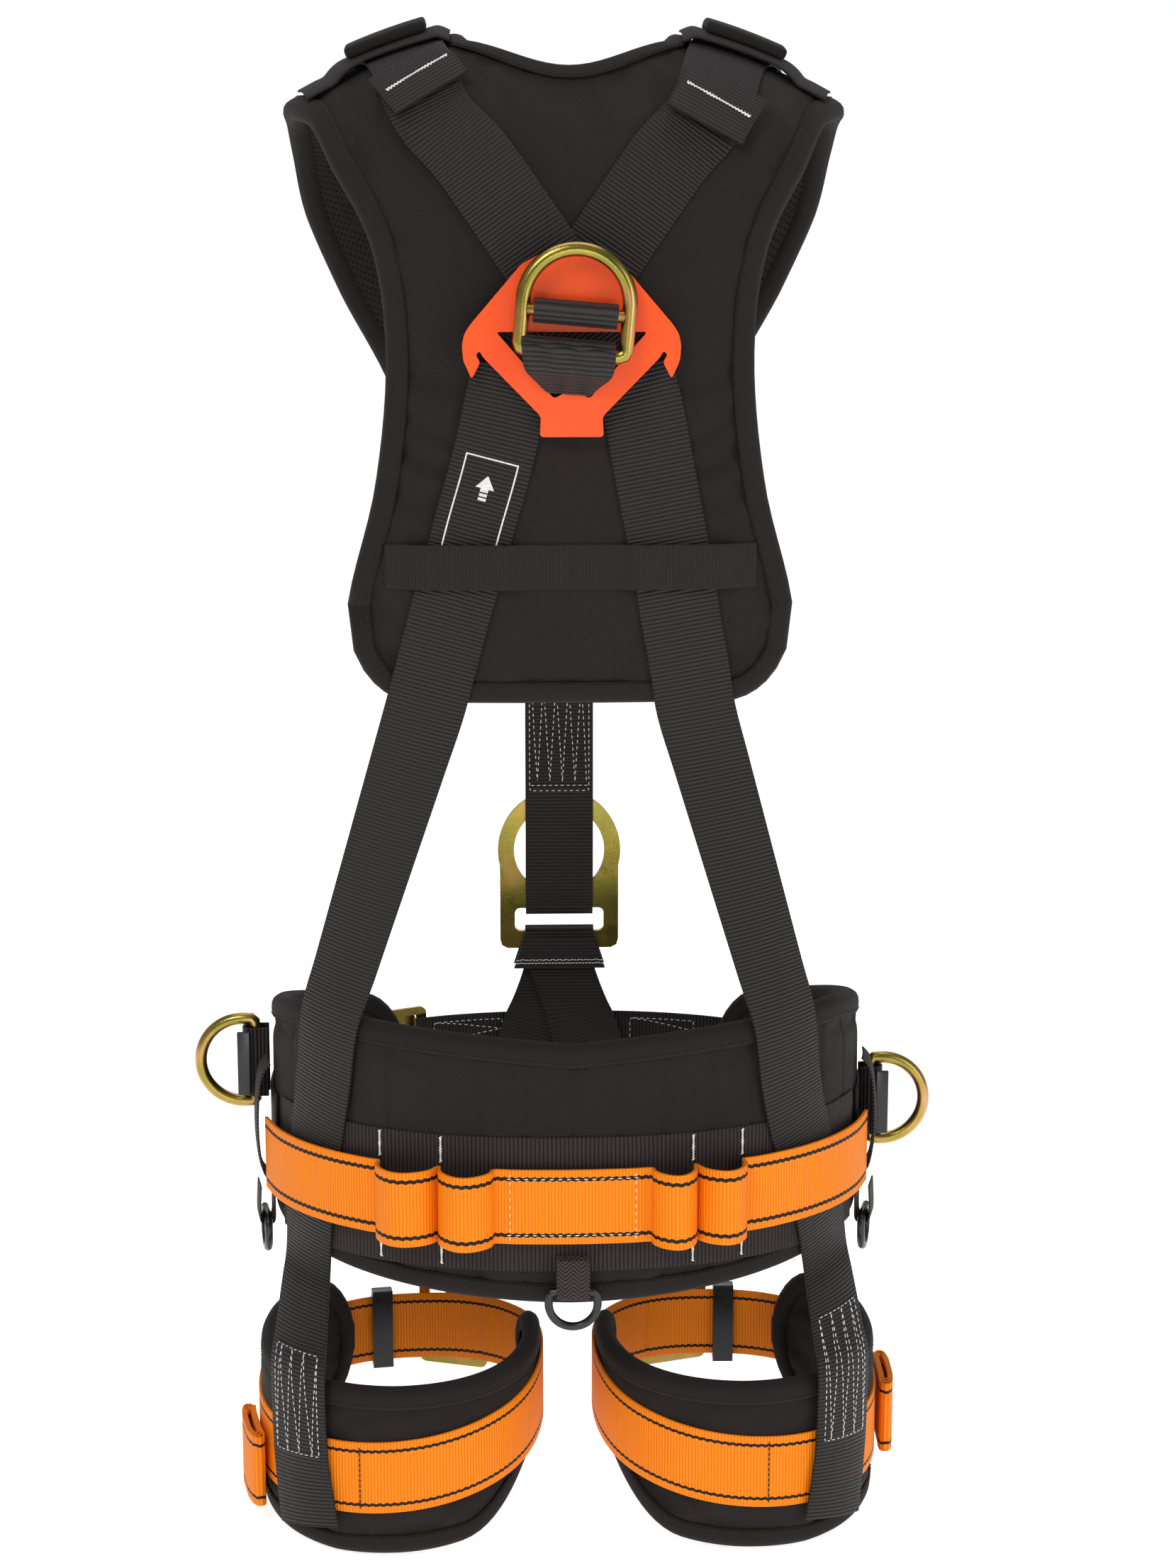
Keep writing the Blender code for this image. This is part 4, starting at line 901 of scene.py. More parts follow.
shell = solid_from("back_pad", pad_rows(-0.0012), PAD_T - 0.0012, shoulder_inside, in_neck)
pad = inflate(shell, lambda co: 1.0 if edge_gap(edge_points, co) < 0.0075 else 0.0,
              lambda start: 0.0008 if edge_gap(edge_points, start) < 0.010 else 0.0024, extra=0.02)
press(pad, lambda co, n: creases(co) if n.y < -0.2 else 0.0)
finish_pad(pad, lambda co: (co.x, side_place(co)), oxford, "harness", ["back_pad"])

# %% back pad lining and binding
lining_rows = pad_rows(-PAD_T - 0.0008)
lining = net_mesh("back_pad_lining_mesh", lining_rows, outward(lining_rows, shoulder_inside)[1],
                  lambda u, v: (u * 0.0045, v * 0.0062))
bm = bmesh.new()
bm.from_mesh(lining)
bmesh.ops.delete(bm, geom=[v for v in bm.verts if in_neck(v.index % (COLUMNS + 1), v.index // (COLUMNS + 1))],
                 context="VERTS")
bm.to_mesh(lining)
bm.free()
lining.shade_smooth()
lining_obj = place(lining, "back_pad_lining_visual", spacer, "harness", ["back_pad_lining"])
thicken(lining_obj, LINING_T - 0.0004, -1.0)
binding("back_pad_binding_tape", pad_edge, ["back_pad_binding"])

# %% [markdown]
# ### Waist pad and leg pads
# Short vertical channels are sewn through the waist pad; the leg pads have plain crowned faces.

# %% waist pad
PAD_END = 0.395


def waist_top(s):
    f = abs(s) / PAD_END
    return 0.0830 + 0.010 * math.sin(math.pi * min(f * 1.1, 1.0)) - 0.036 * max(0.0, f - 0.45) / 0.55


def waist_low(s):
    f = abs(s) / PAD_END
    return -0.0630 + 0.024 * min(1.0, f / 0.6) ** 1.5


def waist_net(off, count=120):
    rows = []
    marks = [lerp(-PAD_END + 0.030, PAD_END - 0.030, k / count) for k in range(count + 1)]
    tips = [PAD_END - 0.030 * (1 - math.sin(math.pi / 2 * k / 8)) for k in range(1, 9)]
    for s in [-m for m in reversed(tips)] + marks + tips:
        f = max(0.0, (abs(s) - (PAD_END - 0.030)) / 0.030)
        keep = math.sqrt(max(0.02, 1.0 - f * f))
        top, low = waist_top(s), waist_low(s)
        mid, half = (top + low) / 2, (top - low) / 2 * keep
        rows.append([waist.at(s, mid + u / 8 * half, off) for u in range(-8, 9)])
    return rows


def rim_of(outer, inner):
    n, m = len(outer), len(outer[0])
    ring = [(i, 0) for i in range(n)] + [(n - 1, j) for j in range(1, m)]
    ring += [(i, m - 1) for i in range(n - 2, -1, -1)] + [(0, j) for j in range(m - 2, 0, -1)]
    edge = []
    for k, (i, j) in enumerate(ring):
        a, b = ring[k - 1], ring[(k + 1) % len(ring)]
        run = (outer[b[0]][b[1]] - outer[a[0]][a[1]]).normalized()
        centre = outer[min(max(i, 3), n - 4)][m // 2]
        away = run.cross(outer[i][j] - inner[i][j]).normalized()
        if away.dot(outer[i][j] - centre) < 0:
            away = -away
        edge.append((outer[i][j], inner[i][j], away))
    return edge


def loop_s(loop, co):
    """Place round a loop from an angle table."""
    want = math.atan2(co.x - loop.cx, -(co.y - loop.cy_mid))
    return float(np.interp(want, loop.angles, loop.places))


def prepare(loop, cy):
    loop.cy_mid = cy
    places = [lerp(-loop.half + 1e-5, loop.half - 1e-5, k / 720) for k in range(721)]
    spots = [loop.flat(s) for s in places]
    loop.angles = [math.atan2(x - loop.cx, -(y - cy)) for x, y in spots]
    loop.places = places


prepare(waist, 0.005)
prepare(leg, -0.028)
outer_rows, inner_rows = waist_net(-0.0006), waist_net(-WAIST_T + 0.0006)
waist_edge = rim_of(outer_rows, inner_rows)
waist_points = np.array([tuple((top + low) / 2) for top, low, out in waist_edge])
CHANNELS = [k * 0.0265 for k in range(-12, 13)]


def channel(co):
    s = loop_s(waist, co)
    return min(abs(s - c) for c in CHANNELS)


shell = solid_from("waist_pad", waist_net(-0.0010), WAIST_T - 0.002, axis_inside)
pad = inflate(shell, lambda co: 1.0 if edge_gap(waist_points, co) < 0.008 else 0.0,
              lambda start: 0.0008 if edge_gap(waist_points, start) < 0.010 else 0.0020, extra=0.02)
press(pad, lambda co, n: 0.0009 * math.exp(-(channel(co) / 0.0022) ** 2)
      if edge_gap(waist_points, co) > 0.008 else 0.0)
finish_pad(pad, lambda co: (loop_s(waist, co), co.z), oxford, "harness", ["waist_pad"])
binding("waist_pad_binding_tape", waist_edge, ["waist_pad_binding"])

# %% leg pads
INNER_END, OUTER_END = -0.180, 0.248
WEB_START, WEB_END = -0.238, 2 * leg.half - 0.238 - 0.0004
KEEPER_AT = {-1: 0.273, 1: 0.286}
ROLL_AT, ROLL_OFF = {-1: (0.114, -0.015), 1: (0.140, 0.0)}, 0.0096
WEB_HEIGHT = [-0.160, -0.155, -0.152, -0.163, -0.173, -0.174, -0.171, -0.164, -0.160]


def leg_top(s):
    return -0.1240 + 0.004 * abs(s) / 0.2


def leg_low(s):
    f = s / 0.2
    rise = max(0.0, min(1.0, (-f - 0.20) / 0.40))
    low = -0.2140 - 0.0060 * math.cos(f * 1.6 - 0.5) + 0.018 * max(0.0, -f) ** 1.4 + 0.012 * max(0.0, f - 0.2)
    return low + 0.034 * rise * rise * (3 - 2 * rise)


def web_z(s):
    return spline(WEB_HEIGHT, ((s + leg.half) % (2 * leg.half)) / (2 * leg.half))


def leg_net(off, count=70):
    marks = [INNER_END + 0.030 * (1 - math.cos(math.pi / 2 * k / 8)) for k in range(8)]
    marks += [lerp(INNER_END + 0.030, OUTER_END - 0.030, k / count) for k in range(count + 1)]
    marks += [OUTER_END - 0.030 * (1 - math.sin(math.pi / 2 * k / 8)) for k in range(1, 9)]
    rows = []
    for s in marks:
        f = max(0.0, (0.030 - min(s - INNER_END, OUTER_END - s)) / 0.030)
        keep = math.sqrt(max(0.03, 1.0 - f * f))
        top, low = leg_top(s), leg_low(s)
        mid, half = (top + low) / 2, (top - low) / 2 * keep
        rows.append([leg.at(s, mid + u / 7 * half, off) for u in range(-7, 8)])
    return rows


for side, tag in ((-1, "l"), (1, "r")):
    edge = rim_of(mirror_rows(leg_net(-0.0006), side), mirror_rows(leg_net(-LEG_T + 0.0006), side))
    points = np.array([tuple((top + low) / 2) for top, low, out in edge])
    shell = solid_from("leg_pad_" + tag, mirror_rows(leg_net(-0.0010), side), LEG_T - 0.002, leg_inside(side))
    pad = inflate(shell, lambda co: 1.0 if edge_gap(points, co) < 0.009 else 0.0,
                  lambda start: 0.0008 if edge_gap(points, start) < 0.011 else 0.0026, extra=0.03)
    finish_pad(pad, lambda co: (loop_s(leg, mirrored(co, side)), co.z), oxford, "harness",
               ["leg_pad_" + tag])
    binding("leg_pad_binding_tape_" + tag, edge, ["leg_pad_binding_" + tag])

# %% [markdown]
# ## Webbing of the back and shoulders

# %% shoulder straps
STRAP_LINE = [(0.026, pad_t(0.464)), (0.0, pad_t(0.500)), (-0.026, pad_t(0.5385)), (-0.053, pad_t(0.5765)),
              (-0.0765, pad_t(0.608)), (-0.090, 7.0 / 15), (-0.100, 8.0 / 15), (-0.108, 9.0 / 15),
              (-0.111, 10.0 / 15), (-0.104, 11.0 / 15), (-0.088, 12.0 / 15), (-0.068, 13.0 / 15),
              (-0.052, 14.0 / 15)]


def lifted(points, width, height, side, count=5):
    """Rows on the back pad; height is a number or height(row) above its face."""
    low = across(points, width, lambda a, b: pad_at(a, b, 0.0), count)
    high = across(points, width, lambda a, b: pad_at(a, b, 0.010), count)
    rise = height if callable(height) else (lambda i: height)
    return [[mirrored(p.lerp(q, rise(i) / 0.010), side) for p, q in zip(r0, r1)]
            for i, (r0, r1) in enumerate(zip(low, high))]


for side, tag, lift in ((1, "l", WEB_T + 2 * GAP), (-1, "r", GAP)):
    line = [(p.x, p.y) for p in smooth([(x, t, 0) for x, t in STRAP_LINE], 44)]
    rows = lifted(line, WEB_W,
                  lambda i: lift if i < 16 else lerp(lift, GAP * 1.6, min(1.0, (i - 16) / 5)), side)
    tail = [Vector((-side * 0.004 + (k / 4 - 0.5) * WEB_W, 0.1335 if side > 0 else 0.1365, 0.262))
            for k in range(5)]
    if rows[-1][0].x > rows[-1][-1].x:
        tail.reverse()
    rows += between(rows[-1], tail, 3) + [tail]
    band_slot(Band("shoulder_strap_web_" + tag, rows, web_black, WEB_T, shoulder_inside,
                   ["shoulder_strap_" + tag]))


# %% shoulder tabs, sleeves and covers
def sleeve_rise(i):
    """Height of a sleeve above the pad: low at its sewn ends, high over the strap."""
    near = min(i / 1.3, (13 - i) / 2.5)
    return lerp(0.0024, 0.0064, math.sin(math.pi / 2 * max(0.0, min(near, 1.0))))


for side, tag in ((-1, "l"), (1, "r")):
    t_tab = lerp(pad_t(0.608), 7.0 / 15, 0.25) - (0.026 if side > 0 else 0.0)
    x_tab = 0.0785 if side > 0 else 0.0800
    tab_line = [(x_tab - 0.0075 + 0.0075 * k, t_tab - 0.020 + 0.020 * k) for k in range(3)]
    tab = band_slot(Band("shoulder_tab_web_" + tag, lifted(tab_line, 0.047, 0.0066, side), web_black, 0.0040,
                         shoulder_inside, ["shoulder_tab_" + tag], along=5, soft=0.0012))
    spots = zigzag(-0.0190, 0.0190, 0.0011, 40)
    mid = tab.length[-1] * 0.5
    stitches("shoulder_tab_bartack_" + tag, [lines(tab, [(v, mid + u) for u, v in spots], fine=3)], thread_white,
             0.0022, 0.0002, 0.00055)
    t_sleeve = 7.15 / 15
    rows = lifted([(lerp(0.0645, 0.1460, k / 16), t_sleeve + 0.012 - 0.0028 * max(0, k - 9))
                   for k in range(17)], 0.040, sleeve_rise, side)
    band_slot(Band("shoulder_sleeve_band_" + tag, rows, elastic, 0.0014, shoulder_inside,
                   ["shoulder_sleeve_" + tag]))
    rows = lifted([(lerp(0.0755, 0.1185, k / 5), t_sleeve + 0.028) for k in range(6)], 0.036, 0.0083, side)
    band_slot(Band("shoulder_cover_band_" + tag, rows, bind_tape, 0.0060, shoulder_inside,
                   ["shoulder_cover_" + tag], along=4, soft=0.0018))

# %% elastic band across the back pad
rows = []
for k in range(25):
    x = lerp(-0.102, 0.102, k / 24)
    near = min(abs(abs(x) - 0.058) / 0.034, 1.0)
    rows.append([pad_at(x, pad_t(0.3575) + dt, lerp(0.0050, 0.0012, max(0.0, near - 0.75) * 4))
                 for dt in (-0.0118, 0.0, 0.0118)])
cross = band_slot(Band("pad_elastic_band_web", rows, elastic, 0.0012, axis_inside, ["pad_elastic_band"]))
mid = cross.length[-1] / 2
stitches("pad_elastic_stitching", [lines(cross, [(-0.010, mid), (0.010, mid)])], thread_black)

# %% back straps
# (height, distance from the middle) on the pad, (distance, height) at the waist: left strap, then right
STRAP_X = {-1: [(0.4655, 0.0315), (0.440, 0.0370), (0.411, 0.0440), (0.380, 0.0530), (0.3575, 0.0590),
                (0.330, 0.0670), (0.300, 0.0750), (0.276, 0.0815)],
           1: [(0.4655, 0.0330), (0.440, 0.0395), (0.411, 0.0450), (0.380, 0.0510), (0.3575, 0.0555),
               (0.330, 0.0600), (0.300, 0.0655), (0.276, 0.0695)]}
WAIST_X = {-1: [(0.1370, 0.094), (0.1410, 0.060), (0.1450, 0.030), (0.1490, 0.000), (0.1515, -0.030),
                (0.1530, -0.058)],
           1: [(0.1215, 0.094), (0.1255, 0.060), (0.1310, 0.030), (0.1395, 0.000), (0.1460, -0.030),
               (0.1500, -0.058)]}
LEG_X = [(0.0600, -0.113), (0.0600, -0.140), (0.0590, -0.165), (0.0560, -0.190), (0.0530, -0.2085)]
back_strap = {}
for side, tag in ((-1, "l"), (1, "r")):
    rows = lifted([(x, pad_t(z)) for z, x in STRAP_X[side]], WEB_W,
                  lambda i: 0.0034 if side < 0 and i < 2 else 0.0014, 1)
    waist_part = across([(waist.s_at_x(x), z) for x, z in WAIST_X[side]], WEB_W,
                        lambda a, b: waist.at(a, b, 0.0031))
    leg_part = across(LEG_X, WEB_W, lambda a, b: leg.at(a, b, 0.0058))
    rows, waist_part, leg_part = ([r[::-1] for r in part] if part[-1][0].x > part[-1][-1].x else part
                                  for part in (rows, waist_part, leg_part))
    rows = mirror_rows(rows + between(rows[-1], waist_part[0], 5) + waist_part
                       + between(waist_part[-1], leg_part[0], 3) + leg_part, side)
    back_strap[tag] = band_slot(Band("back_strap_web_" + tag, rows, web_black, WEB_T, axis_inside,
                                     ["back_strap_" + tag], along=4))
print("back straps", [round(b.length[-1], 3) for b in back_strap.values()], "m long")

for tag, start, end in (("l", 0.107, 0.045), ("r", 0.127, 0.050)):
    band, size = back_strap[tag], back_strap[tag].length[-1]
    stitches("back_strap_stitching_" + tag, box_w(band, size - start, size - end, 0.0165, 7), thread_white,
             0.0026, 0.0012, 0.0003)


# %% printed outline and arrow on the left back strap
def printed(name, band, patches):
    """Thin ink patches on a band: (u, v0, v1, half-width at v0, half-width at v1)."""
    bm = bmesh.new()
    for u, v0, v1, half0, half1 in patches:
        for vert in bmesh.ops.create_grid(bm, x_segments=2, y_segments=12, size=1.0)["verts"]:
            f = (vert.co.y + 1) / 2
            vert.co = band.point(u + vert.co.x * lerp(half0, half1, f), lerp(v0, v1, f), 0.00012)
    bmesh.ops.recalc_face_normals(bm, faces=bm.faces)
    return place(mesh_of(name, bm, smooth=False), name, print_white)


top_v, low_v, half, line = 0.050, 0.108, 0.0140, 0.0004
printed("strap_print", back_strap["l"], [
    (-half, top_v, low_v, line, line), (half, top_v, low_v, line, line),
    (0.0, top_v, top_v + 2 * line, half, half), (0.0, low_v, low_v - 2 * line, half, half),
    (0.0, 0.0600, 0.0670, 0.0002, 0.0052), (0.0, 0.0670, 0.0690, 0.0022, 0.0022),
    (0.0, 0.0698, 0.0714, 0.0022, 0.0022), (0.0, 0.0722, 0.0738, 0.0022, 0.0022)])

# %% [markdown]
# ### Dorsal plate and ring

# %% dorsal plate
PLATE_Y, RING_Y = -0.1305, -0.1420
half_plate = [(0.014, 0.5275), (0.0268, 0.5207), (0.0542, 0.489), (0.0575, 0.484), (0.0588, 0.478),
              (0.0582, 0.470), (0.0537, 0.4600), (0.0490, 0.4690), (0.0515, 0.4727), (0.0495, 0.4750),
              (0.0472, 0.4712), (0.0166, 0.4400), (0.0172, 0.4290)]
outline = [(0.0, 0.5288)] + half_plate + [(-x, z) for x, z in reversed(half_plate)]
opening = [(0.0405, 0.4850), (-0.0405, 0.4850), (-0.0095, 0.4495), (0.0, 0.4550), (0.0095, 0.4495)]
plate_obj = plate("dorsal_plate_moulding", [fillet(outline, 0.0022), fillet(opening, 0.0020)], 0.0030,
                  orange_plastic, basis((1, 0, 0), (0, 0, 1), (0.0, PLATE_Y, 0.0)),
                  replaces=["dorsal_plate"], bevel=0.0011)

# %% dorsal ring with its cross bar and webbing
RING_PIVOT = Vector((0.0, RING_Y, 0.4740))
TILT = math.radians(-5.0)
ring_place = basis((math.cos(TILT), 0, math.sin(TILT)), (-math.sin(TILT), 0, math.cos(TILT)), RING_PIVOT)
path = [(-0.0245, 0.0, 0.0), (0.0245, 0.0, 0.0), (0.0275, 0.0012, 0.0), (0.0285, 0.004, 0.0)]
path += [(x, y, 0.0) for x, y in arc(0.0, 0.0262, 0.0285, 0, 180, 48)]
path += [(-0.0285, 0.004, 0.0), (-0.0275, 0.0012, 0.0)]
ring = wire("dorsal_ring_forging", path, 0.0040, zinc, ring_place, body="dorsal_ring",
            replaces=["dorsal_d_ring"])
bar = wire("dorsal_cross_bar", [(x, 0.0215, 0.0) for x in (-0.0280, 0.0, 0.0280)], 0.0034, zinc, ring_place,
           closed=False, body="dorsal_ring")

rows = []
for k in range(22):
    angle = 2 * math.pi * k / 20
    reach = 0.0043 + 0.0004 * math.sin(3 * angle)
    rows.append([ring_place @ Vector((x, 0.0215 + reach * math.sin(angle), -reach * math.cos(angle)))
                 for x in (-0.0225, -0.011, 0.0, 0.011, 0.0225)])
roll_mid = ring_place @ Vector((0, 0.0215, 0))
roll_axis = (ring_place.to_3x3() @ Vector((1, 0, 0))).normalized()
# Same painted shade as the other webbing: its dark colour fills the rib valleys.
web_soft = woven("polyester_webbing_black_small", "3A3333", "080707", "ribs", 0.0024, 0.0007, 0.5, 0.03)
band_slot(Band("dorsal_roll_web", rows, web_soft, 0.0024,
               lambda p: roll_mid + roll_axis * (p - roll_mid).dot(roll_axis),
               ["dorsal_web_roll"], along=2, body="dorsal_ring"))

fold = []
for k in range(13):
    angle = math.radians(lerp(-35, 200, k / 12))
    fold.append((0.0218, RING_Y - math.cos(angle) * 0.0062, 0.4740 + math.sin(angle) * 0.0062))
fold_path = [(0.0100, -0.1325, 0.4530), (0.0150, -0.1375, 0.4590), (0.0200, -0.1460, 0.4650)] + fold[2:11]
rows = []
for k, (half, y, z) in enumerate(fold_path):
    ripple = 0.0016 * max(0.0, 1 - abs(k - 2.5) / 4)
    wide = half * 1.14
    rows.append([Vector((u * wide - 0.0020, y - 0.0006 - ripple * math.sin(u * 9 + k),
                         z + u * wide * math.tan(TILT)))
                 for u in (-1, -0.75, -0.5, -0.25, 0, 0.25, 0.5, 0.75, 1)])
band_slot(Band("dorsal_fold_web", rows, web_soft, WEB_T, lambda p: Vector((p.x, RING_Y, 0.4740)),
               ["dorsal_web_fold"], along=4, wide=17))

# %% [markdown]
# ## Chest

# %% chest webs and ring plate
CHEST_Y, RING_Z = 0.1440, 0.140


def flat_strap(name, path, replaces, hint):
    """Web along a path of (width, y, z), thickened away from the line hint (y, z)."""
    rows = [[Vector((u * width / 2, y, z)) for u in (-1, 0, 1)] for width, y, z in path]
    return band_slot(Band(name, rows, web_black, WEB_T, lambda p: Vector((p.x, *hint)), replaces))


loop_z = RING_Z - 0.0342
chest_path = [(WEB_W, 0.1370, 0.2612), (WEB_W, 0.1370, 0.195), (WEB_W, 0.1370, 0.150), (WEB_W, 0.1375, 0.120),
              (WEB_W, CHEST_Y - 0.0030, loop_z + 0.001)]
chest_path += [(WEB_W, CHEST_Y - 0.0032 * math.cos(math.radians(a)), loop_z - 0.0075 * math.sin(math.radians(a)))
               for a in (30, 60, 90, 120, 150)]
chest_path += [(WEB_W, CHEST_Y + 0.0032, loop_z + 0.001), (WEB_W, CHEST_Y + 0.0032, 0.1225),
               (WEB_W, 0.1440, 0.1330),
               (WEB_W, 0.1415, 0.1450), (WEB_W, 0.1392, 0.1580), (WEB_W, 0.1388, 0.195), (WEB_W, 0.1388, 0.232)]
chest = flat_strap("chest_strap_web", chest_path, ["chest_web"], (CHEST_Y - 0.004, loop_z))
spots = [(-0.0185, 0.006), (-0.0185, 0.0800), (0.0185, 0.0800), (0.0185, 0.006)]
stitches("chest_strap_stitching", [lines(chest, spots, fine=24),
                                   lines(chest, [(-0.0185, 0.0765), (0.0185, 0.0765)]),
                                   lines(chest, wave(0.008, 0.0740, 0.0165, 9), fine=24)], thread_white,
         0.0024, 0.0016, 0.0003)
half_ring = [(0.0402 * math.sin(math.radians(a)), 0.0402 * math.cos(math.radians(a))) for a in range(4, 108, 4)]
half_ring += [(0.0389, -0.0160), (0.0389, -0.0600), (0.0378, -0.0640), (0.0340, -0.0660)]
ring_outline = [(0.0, 0.0402)] + half_ring + [(-x, y) for x, y in reversed(half_ring)]
ring_obj = plate("sternal_ring_forging", [ring_outline, arc(0.0, 0.0, 0.0296, 0, 355, 71),
                                          rounded(0.0292, 0.0078, 0.0035, 5, 0.0, -0.0467)],
                 0.0042, zinc, basis((1, 0, 0), (0, 0, 1), (0.0, CHEST_Y, RING_Z)),
                 replaces=["sternal_ring_plate"], bevel=0.0013)

low_z = RING_Z - 0.0603
fold = [(0.0600, CHEST_Y - 0.0060, low_z - 0.0182), (0.0480, CHEST_Y - 0.0060, low_z)]
fold += [(0.0450, CHEST_Y - 0.0052 * math.cos(math.radians(a)), low_z + 0.0078 * math.sin(math.radians(a)))
         for a in (20, 50, 90, 130, 160)]
fold += [(0.0480, CHEST_Y + 0.0060, low_z), (0.0600, CHEST_Y + 0.0060, low_z - 0.0182)]
chest_fold = flat_strap("lower_chest_fold_web", fold, ["lower_chest_fold"], (CHEST_Y, low_z - 0.008))
spots = []
for row in (0.0030, 0.0052):
    spots += [(lerp(-0.0265, 0.0265, k / 34), row + 0.0011 * (k % 2)) for k in range(35)]
stitches("lower_chest_bartack", [lines(chest_fold, spots[:35], fine=3), lines(chest_fold, spots[35:], fine=3)],
         thread_white, 0.0022, 0.0003, 0.0004)
for side, tag, y_in, y_mid, y_low in ((-1, "l", 0.1430, 0.1395, 0.1360), (1, "r", 0.1384, 0.1352, 0.1318)):
    path = [(side * 0.0015, y_in, 0.0620, 0.0), (side * 0.0050, y_mid, 0.0520, 0.0),
            (side * 0.0100, y_low, 0.0400, 0.0), (side * 0.0150, y_low, 0.0250, 0.25),
            (side * 0.0210, y_low - 0.0004, 0.0050, 0.34), (side * 0.0245, y_low - 0.0007, -0.0120, 0.34)]
    rows = [[Vector((x, y, z)) + Vector((1, 0, side * lean)).normalized() * (u * 0.0215) for u in (-1, 0, 1)]
            for x, y, z, lean in path]
    band_slot(Band("lower_chest_strap_" + tag, rows, web_black, WEB_T, axis_inside,
                   ["lower_chest_web_" + tag]))

# %% [markdown]
# ## Waist belt

# %% carrier band and tool belt
def waist_band(start, end, low, high, off, count):
    return [[waist.at(lerp(start, end, k / count), lerp(low, high, u), off) for u in (0, 0.5, 1)]
            for k in range(count + 1)]


band_slot(Band("waist_carrier_web", waist_band(-0.200, 0.200, -0.046, 0.034, 0.0006, 40), carrier_cloth,
               0.0015, axis_inside, ["waist_carrier_band"], wide=9))
LOOPS = ((-0.110, -0.076), (-0.074, -0.044), (0.044, 0.068), (0.070, 0.097))


def loop_bulge(s):
    for a, b in LOOPS:
        if a < s < b:
            return 0.0170 * math.sin(math.pi * (s - a) / (b - a)) ** 0.6
    return 0.0


stops = [-0.215, -0.190, -0.165, -0.140, -0.118]
for a, b in LOOPS[:2]:
    stops += [lerp(a, b, f) for f in (0, 0.07, 0.2, 0.4, 0.6, 0.8, 0.93, 1)]
stops += [-0.030, 0.0, 0.030]
for a, b in LOOPS[2:]:
    stops += [lerp(a, b, f) for f in (0, 0.07, 0.2, 0.4, 0.6, 0.8, 0.93, 1)]
stops += [0.105, 0.118, 0.140, 0.165, 0.190, 0.215]
rows = web_round(waist, [(s, BELT_Z, 0.0070 + loop_bulge(s)) for s in stops])
belt = band_slot(Band("tool_belt_web", rows, web_orange, WEB_T, axis_inside, ["tool_belt"], along=4, wide=9))


def belt_v(s):
    i = max(k for k, at in enumerate(stops) if at <= s)
    i = min(i, len(stops) - 2)
    place_at = (i + (s - stops[i]) / (stops[i + 1] - stops[i])) * 4
    return float(np.interp(place_at, range(len(belt.length)), belt.length))


# %% sewing on the belt
paths, tacks = [], []
for s in (-0.112, -0.075, 0.069, 0.099):
    v = belt_v(s)
    paths.append(lines(belt, [(-0.0205, v), (0.0205, v)]))
    for edge in (-1, 1):
        tacks.append([waist.at(s + (k % 2 - 0.5) * 0.0018, BELT_Z + edge * (0.0228 + 0.0152 * k / 21), 0.0030)
                      for k in range(22)])
for s in (-0.0335, 0.0335):
    paths.append(lines(belt, [(-0.0205, belt_v(s)), (0.0205, belt_v(s))]))
for u in (-0.0152, 0.0152):
    paths.append(lines(belt, [(u, belt_v(-0.036)), (u, belt_v(0.036))], fine=30))
stitches("tool_belt_stitching", paths, thread_white, 0.0026, 0.0022, 0.00036)
stitches("tool_belt_bartacks", tacks, thread_white, 0.0022, 0.0, 0.0006)


# %% front waist webs and buckle
FRONT_Z, BUCKLE_S = 0.009, 0.398
front_web = {}
for side, tag, start, end in ((-1, "l", 0.212, 0.375), (1, "r", 0.212, 0.600)):
    rows = web_round(waist, [(lerp(start, end, k / 20), FRONT_Z, 0.0010) for k in range(21)], side)
    front_web[tag] = band_slot(Band("front_waist_web_" + tag, rows, web_black, WEB_T, axis_inside,
                                    ["front_web_" + tag]))

inner = -WEB_T - 0.0002
stitches("front_waist_stitching", box_w(front_web["r"], 0.204, 0.247, 0.0165, 5, inner)
         + box_w(front_web["r"], 0.332, 0.378, 0.0165, 5, inner), thread_white, 0.0026, 0.0014, 0.0003)


def facing(loop, s, z, off, side=1):
    """Placement on a ring: X along it, Y up, Z outward."""
    normal = mirrored(loop.normal(s), side)
    return basis(Vector((0, 0, 1)).cross(normal), (0, 0, 1), mirrored(loop.at(s, z, off), side))


def frame_plate(name, node, outline, windows, thick, mat, matrix, bevel=0.0008, body="harness"):
    obj = plate(name, [outline] + windows, thick, mat, matrix, body, [node], bevel)
    return obj


frame_plate("waist_buckle_outer", "waist_buckle_frame", rounded(0.0190, 0.0285, 0.0045),
            [rounded(0.0050, 0.0235, 0.002, 4, x) for x in (0.0075, -0.0075)], 0.0026, zinc,
            facing(waist, BUCKLE_S, FRONT_Z, 0.0060, -1))
frame_plate("waist_buckle_inner", "waist_buckle_tongue", rounded(0.0130, 0.0240, 0.0045),
            [rounded(0.0035, 0.0195, 0.002, 4)], 0.0026, zinc,
            facing(waist, BUCKLE_S, FRONT_Z, 0.0100, -1))

# %% [markdown]
# ## Side rings, tapes and gear rings

# %% sides
SIDE_S, SIDE_Z, BAR_OFF = 0.2520, {-1: 0.0410, 1: 0.0120}, {-1: 0.0125, 1: 0.0110}
TAPE_LINE = [(-0.0250, 0.0038), (-0.0200, 0.0085), (-0.0080, 0.0110), (0.0100, 0.0120), (0.0300, 0.0110),
             (0.0420, 0.0085), (0.0480, 0.0038)]


def d_path(half, reach, count=36):
    points = [(0.0, -half + 0.002, 0.0), (0.0, half - 0.002, 0.0), (0.002, half, 0.0)]
    bend = [(reach - half + x, y, 0.0) for x, y in arc(0.0, 0.0, half, 90, -90, count)]
    return points + bend + [(0.002, -half, 0.0)]


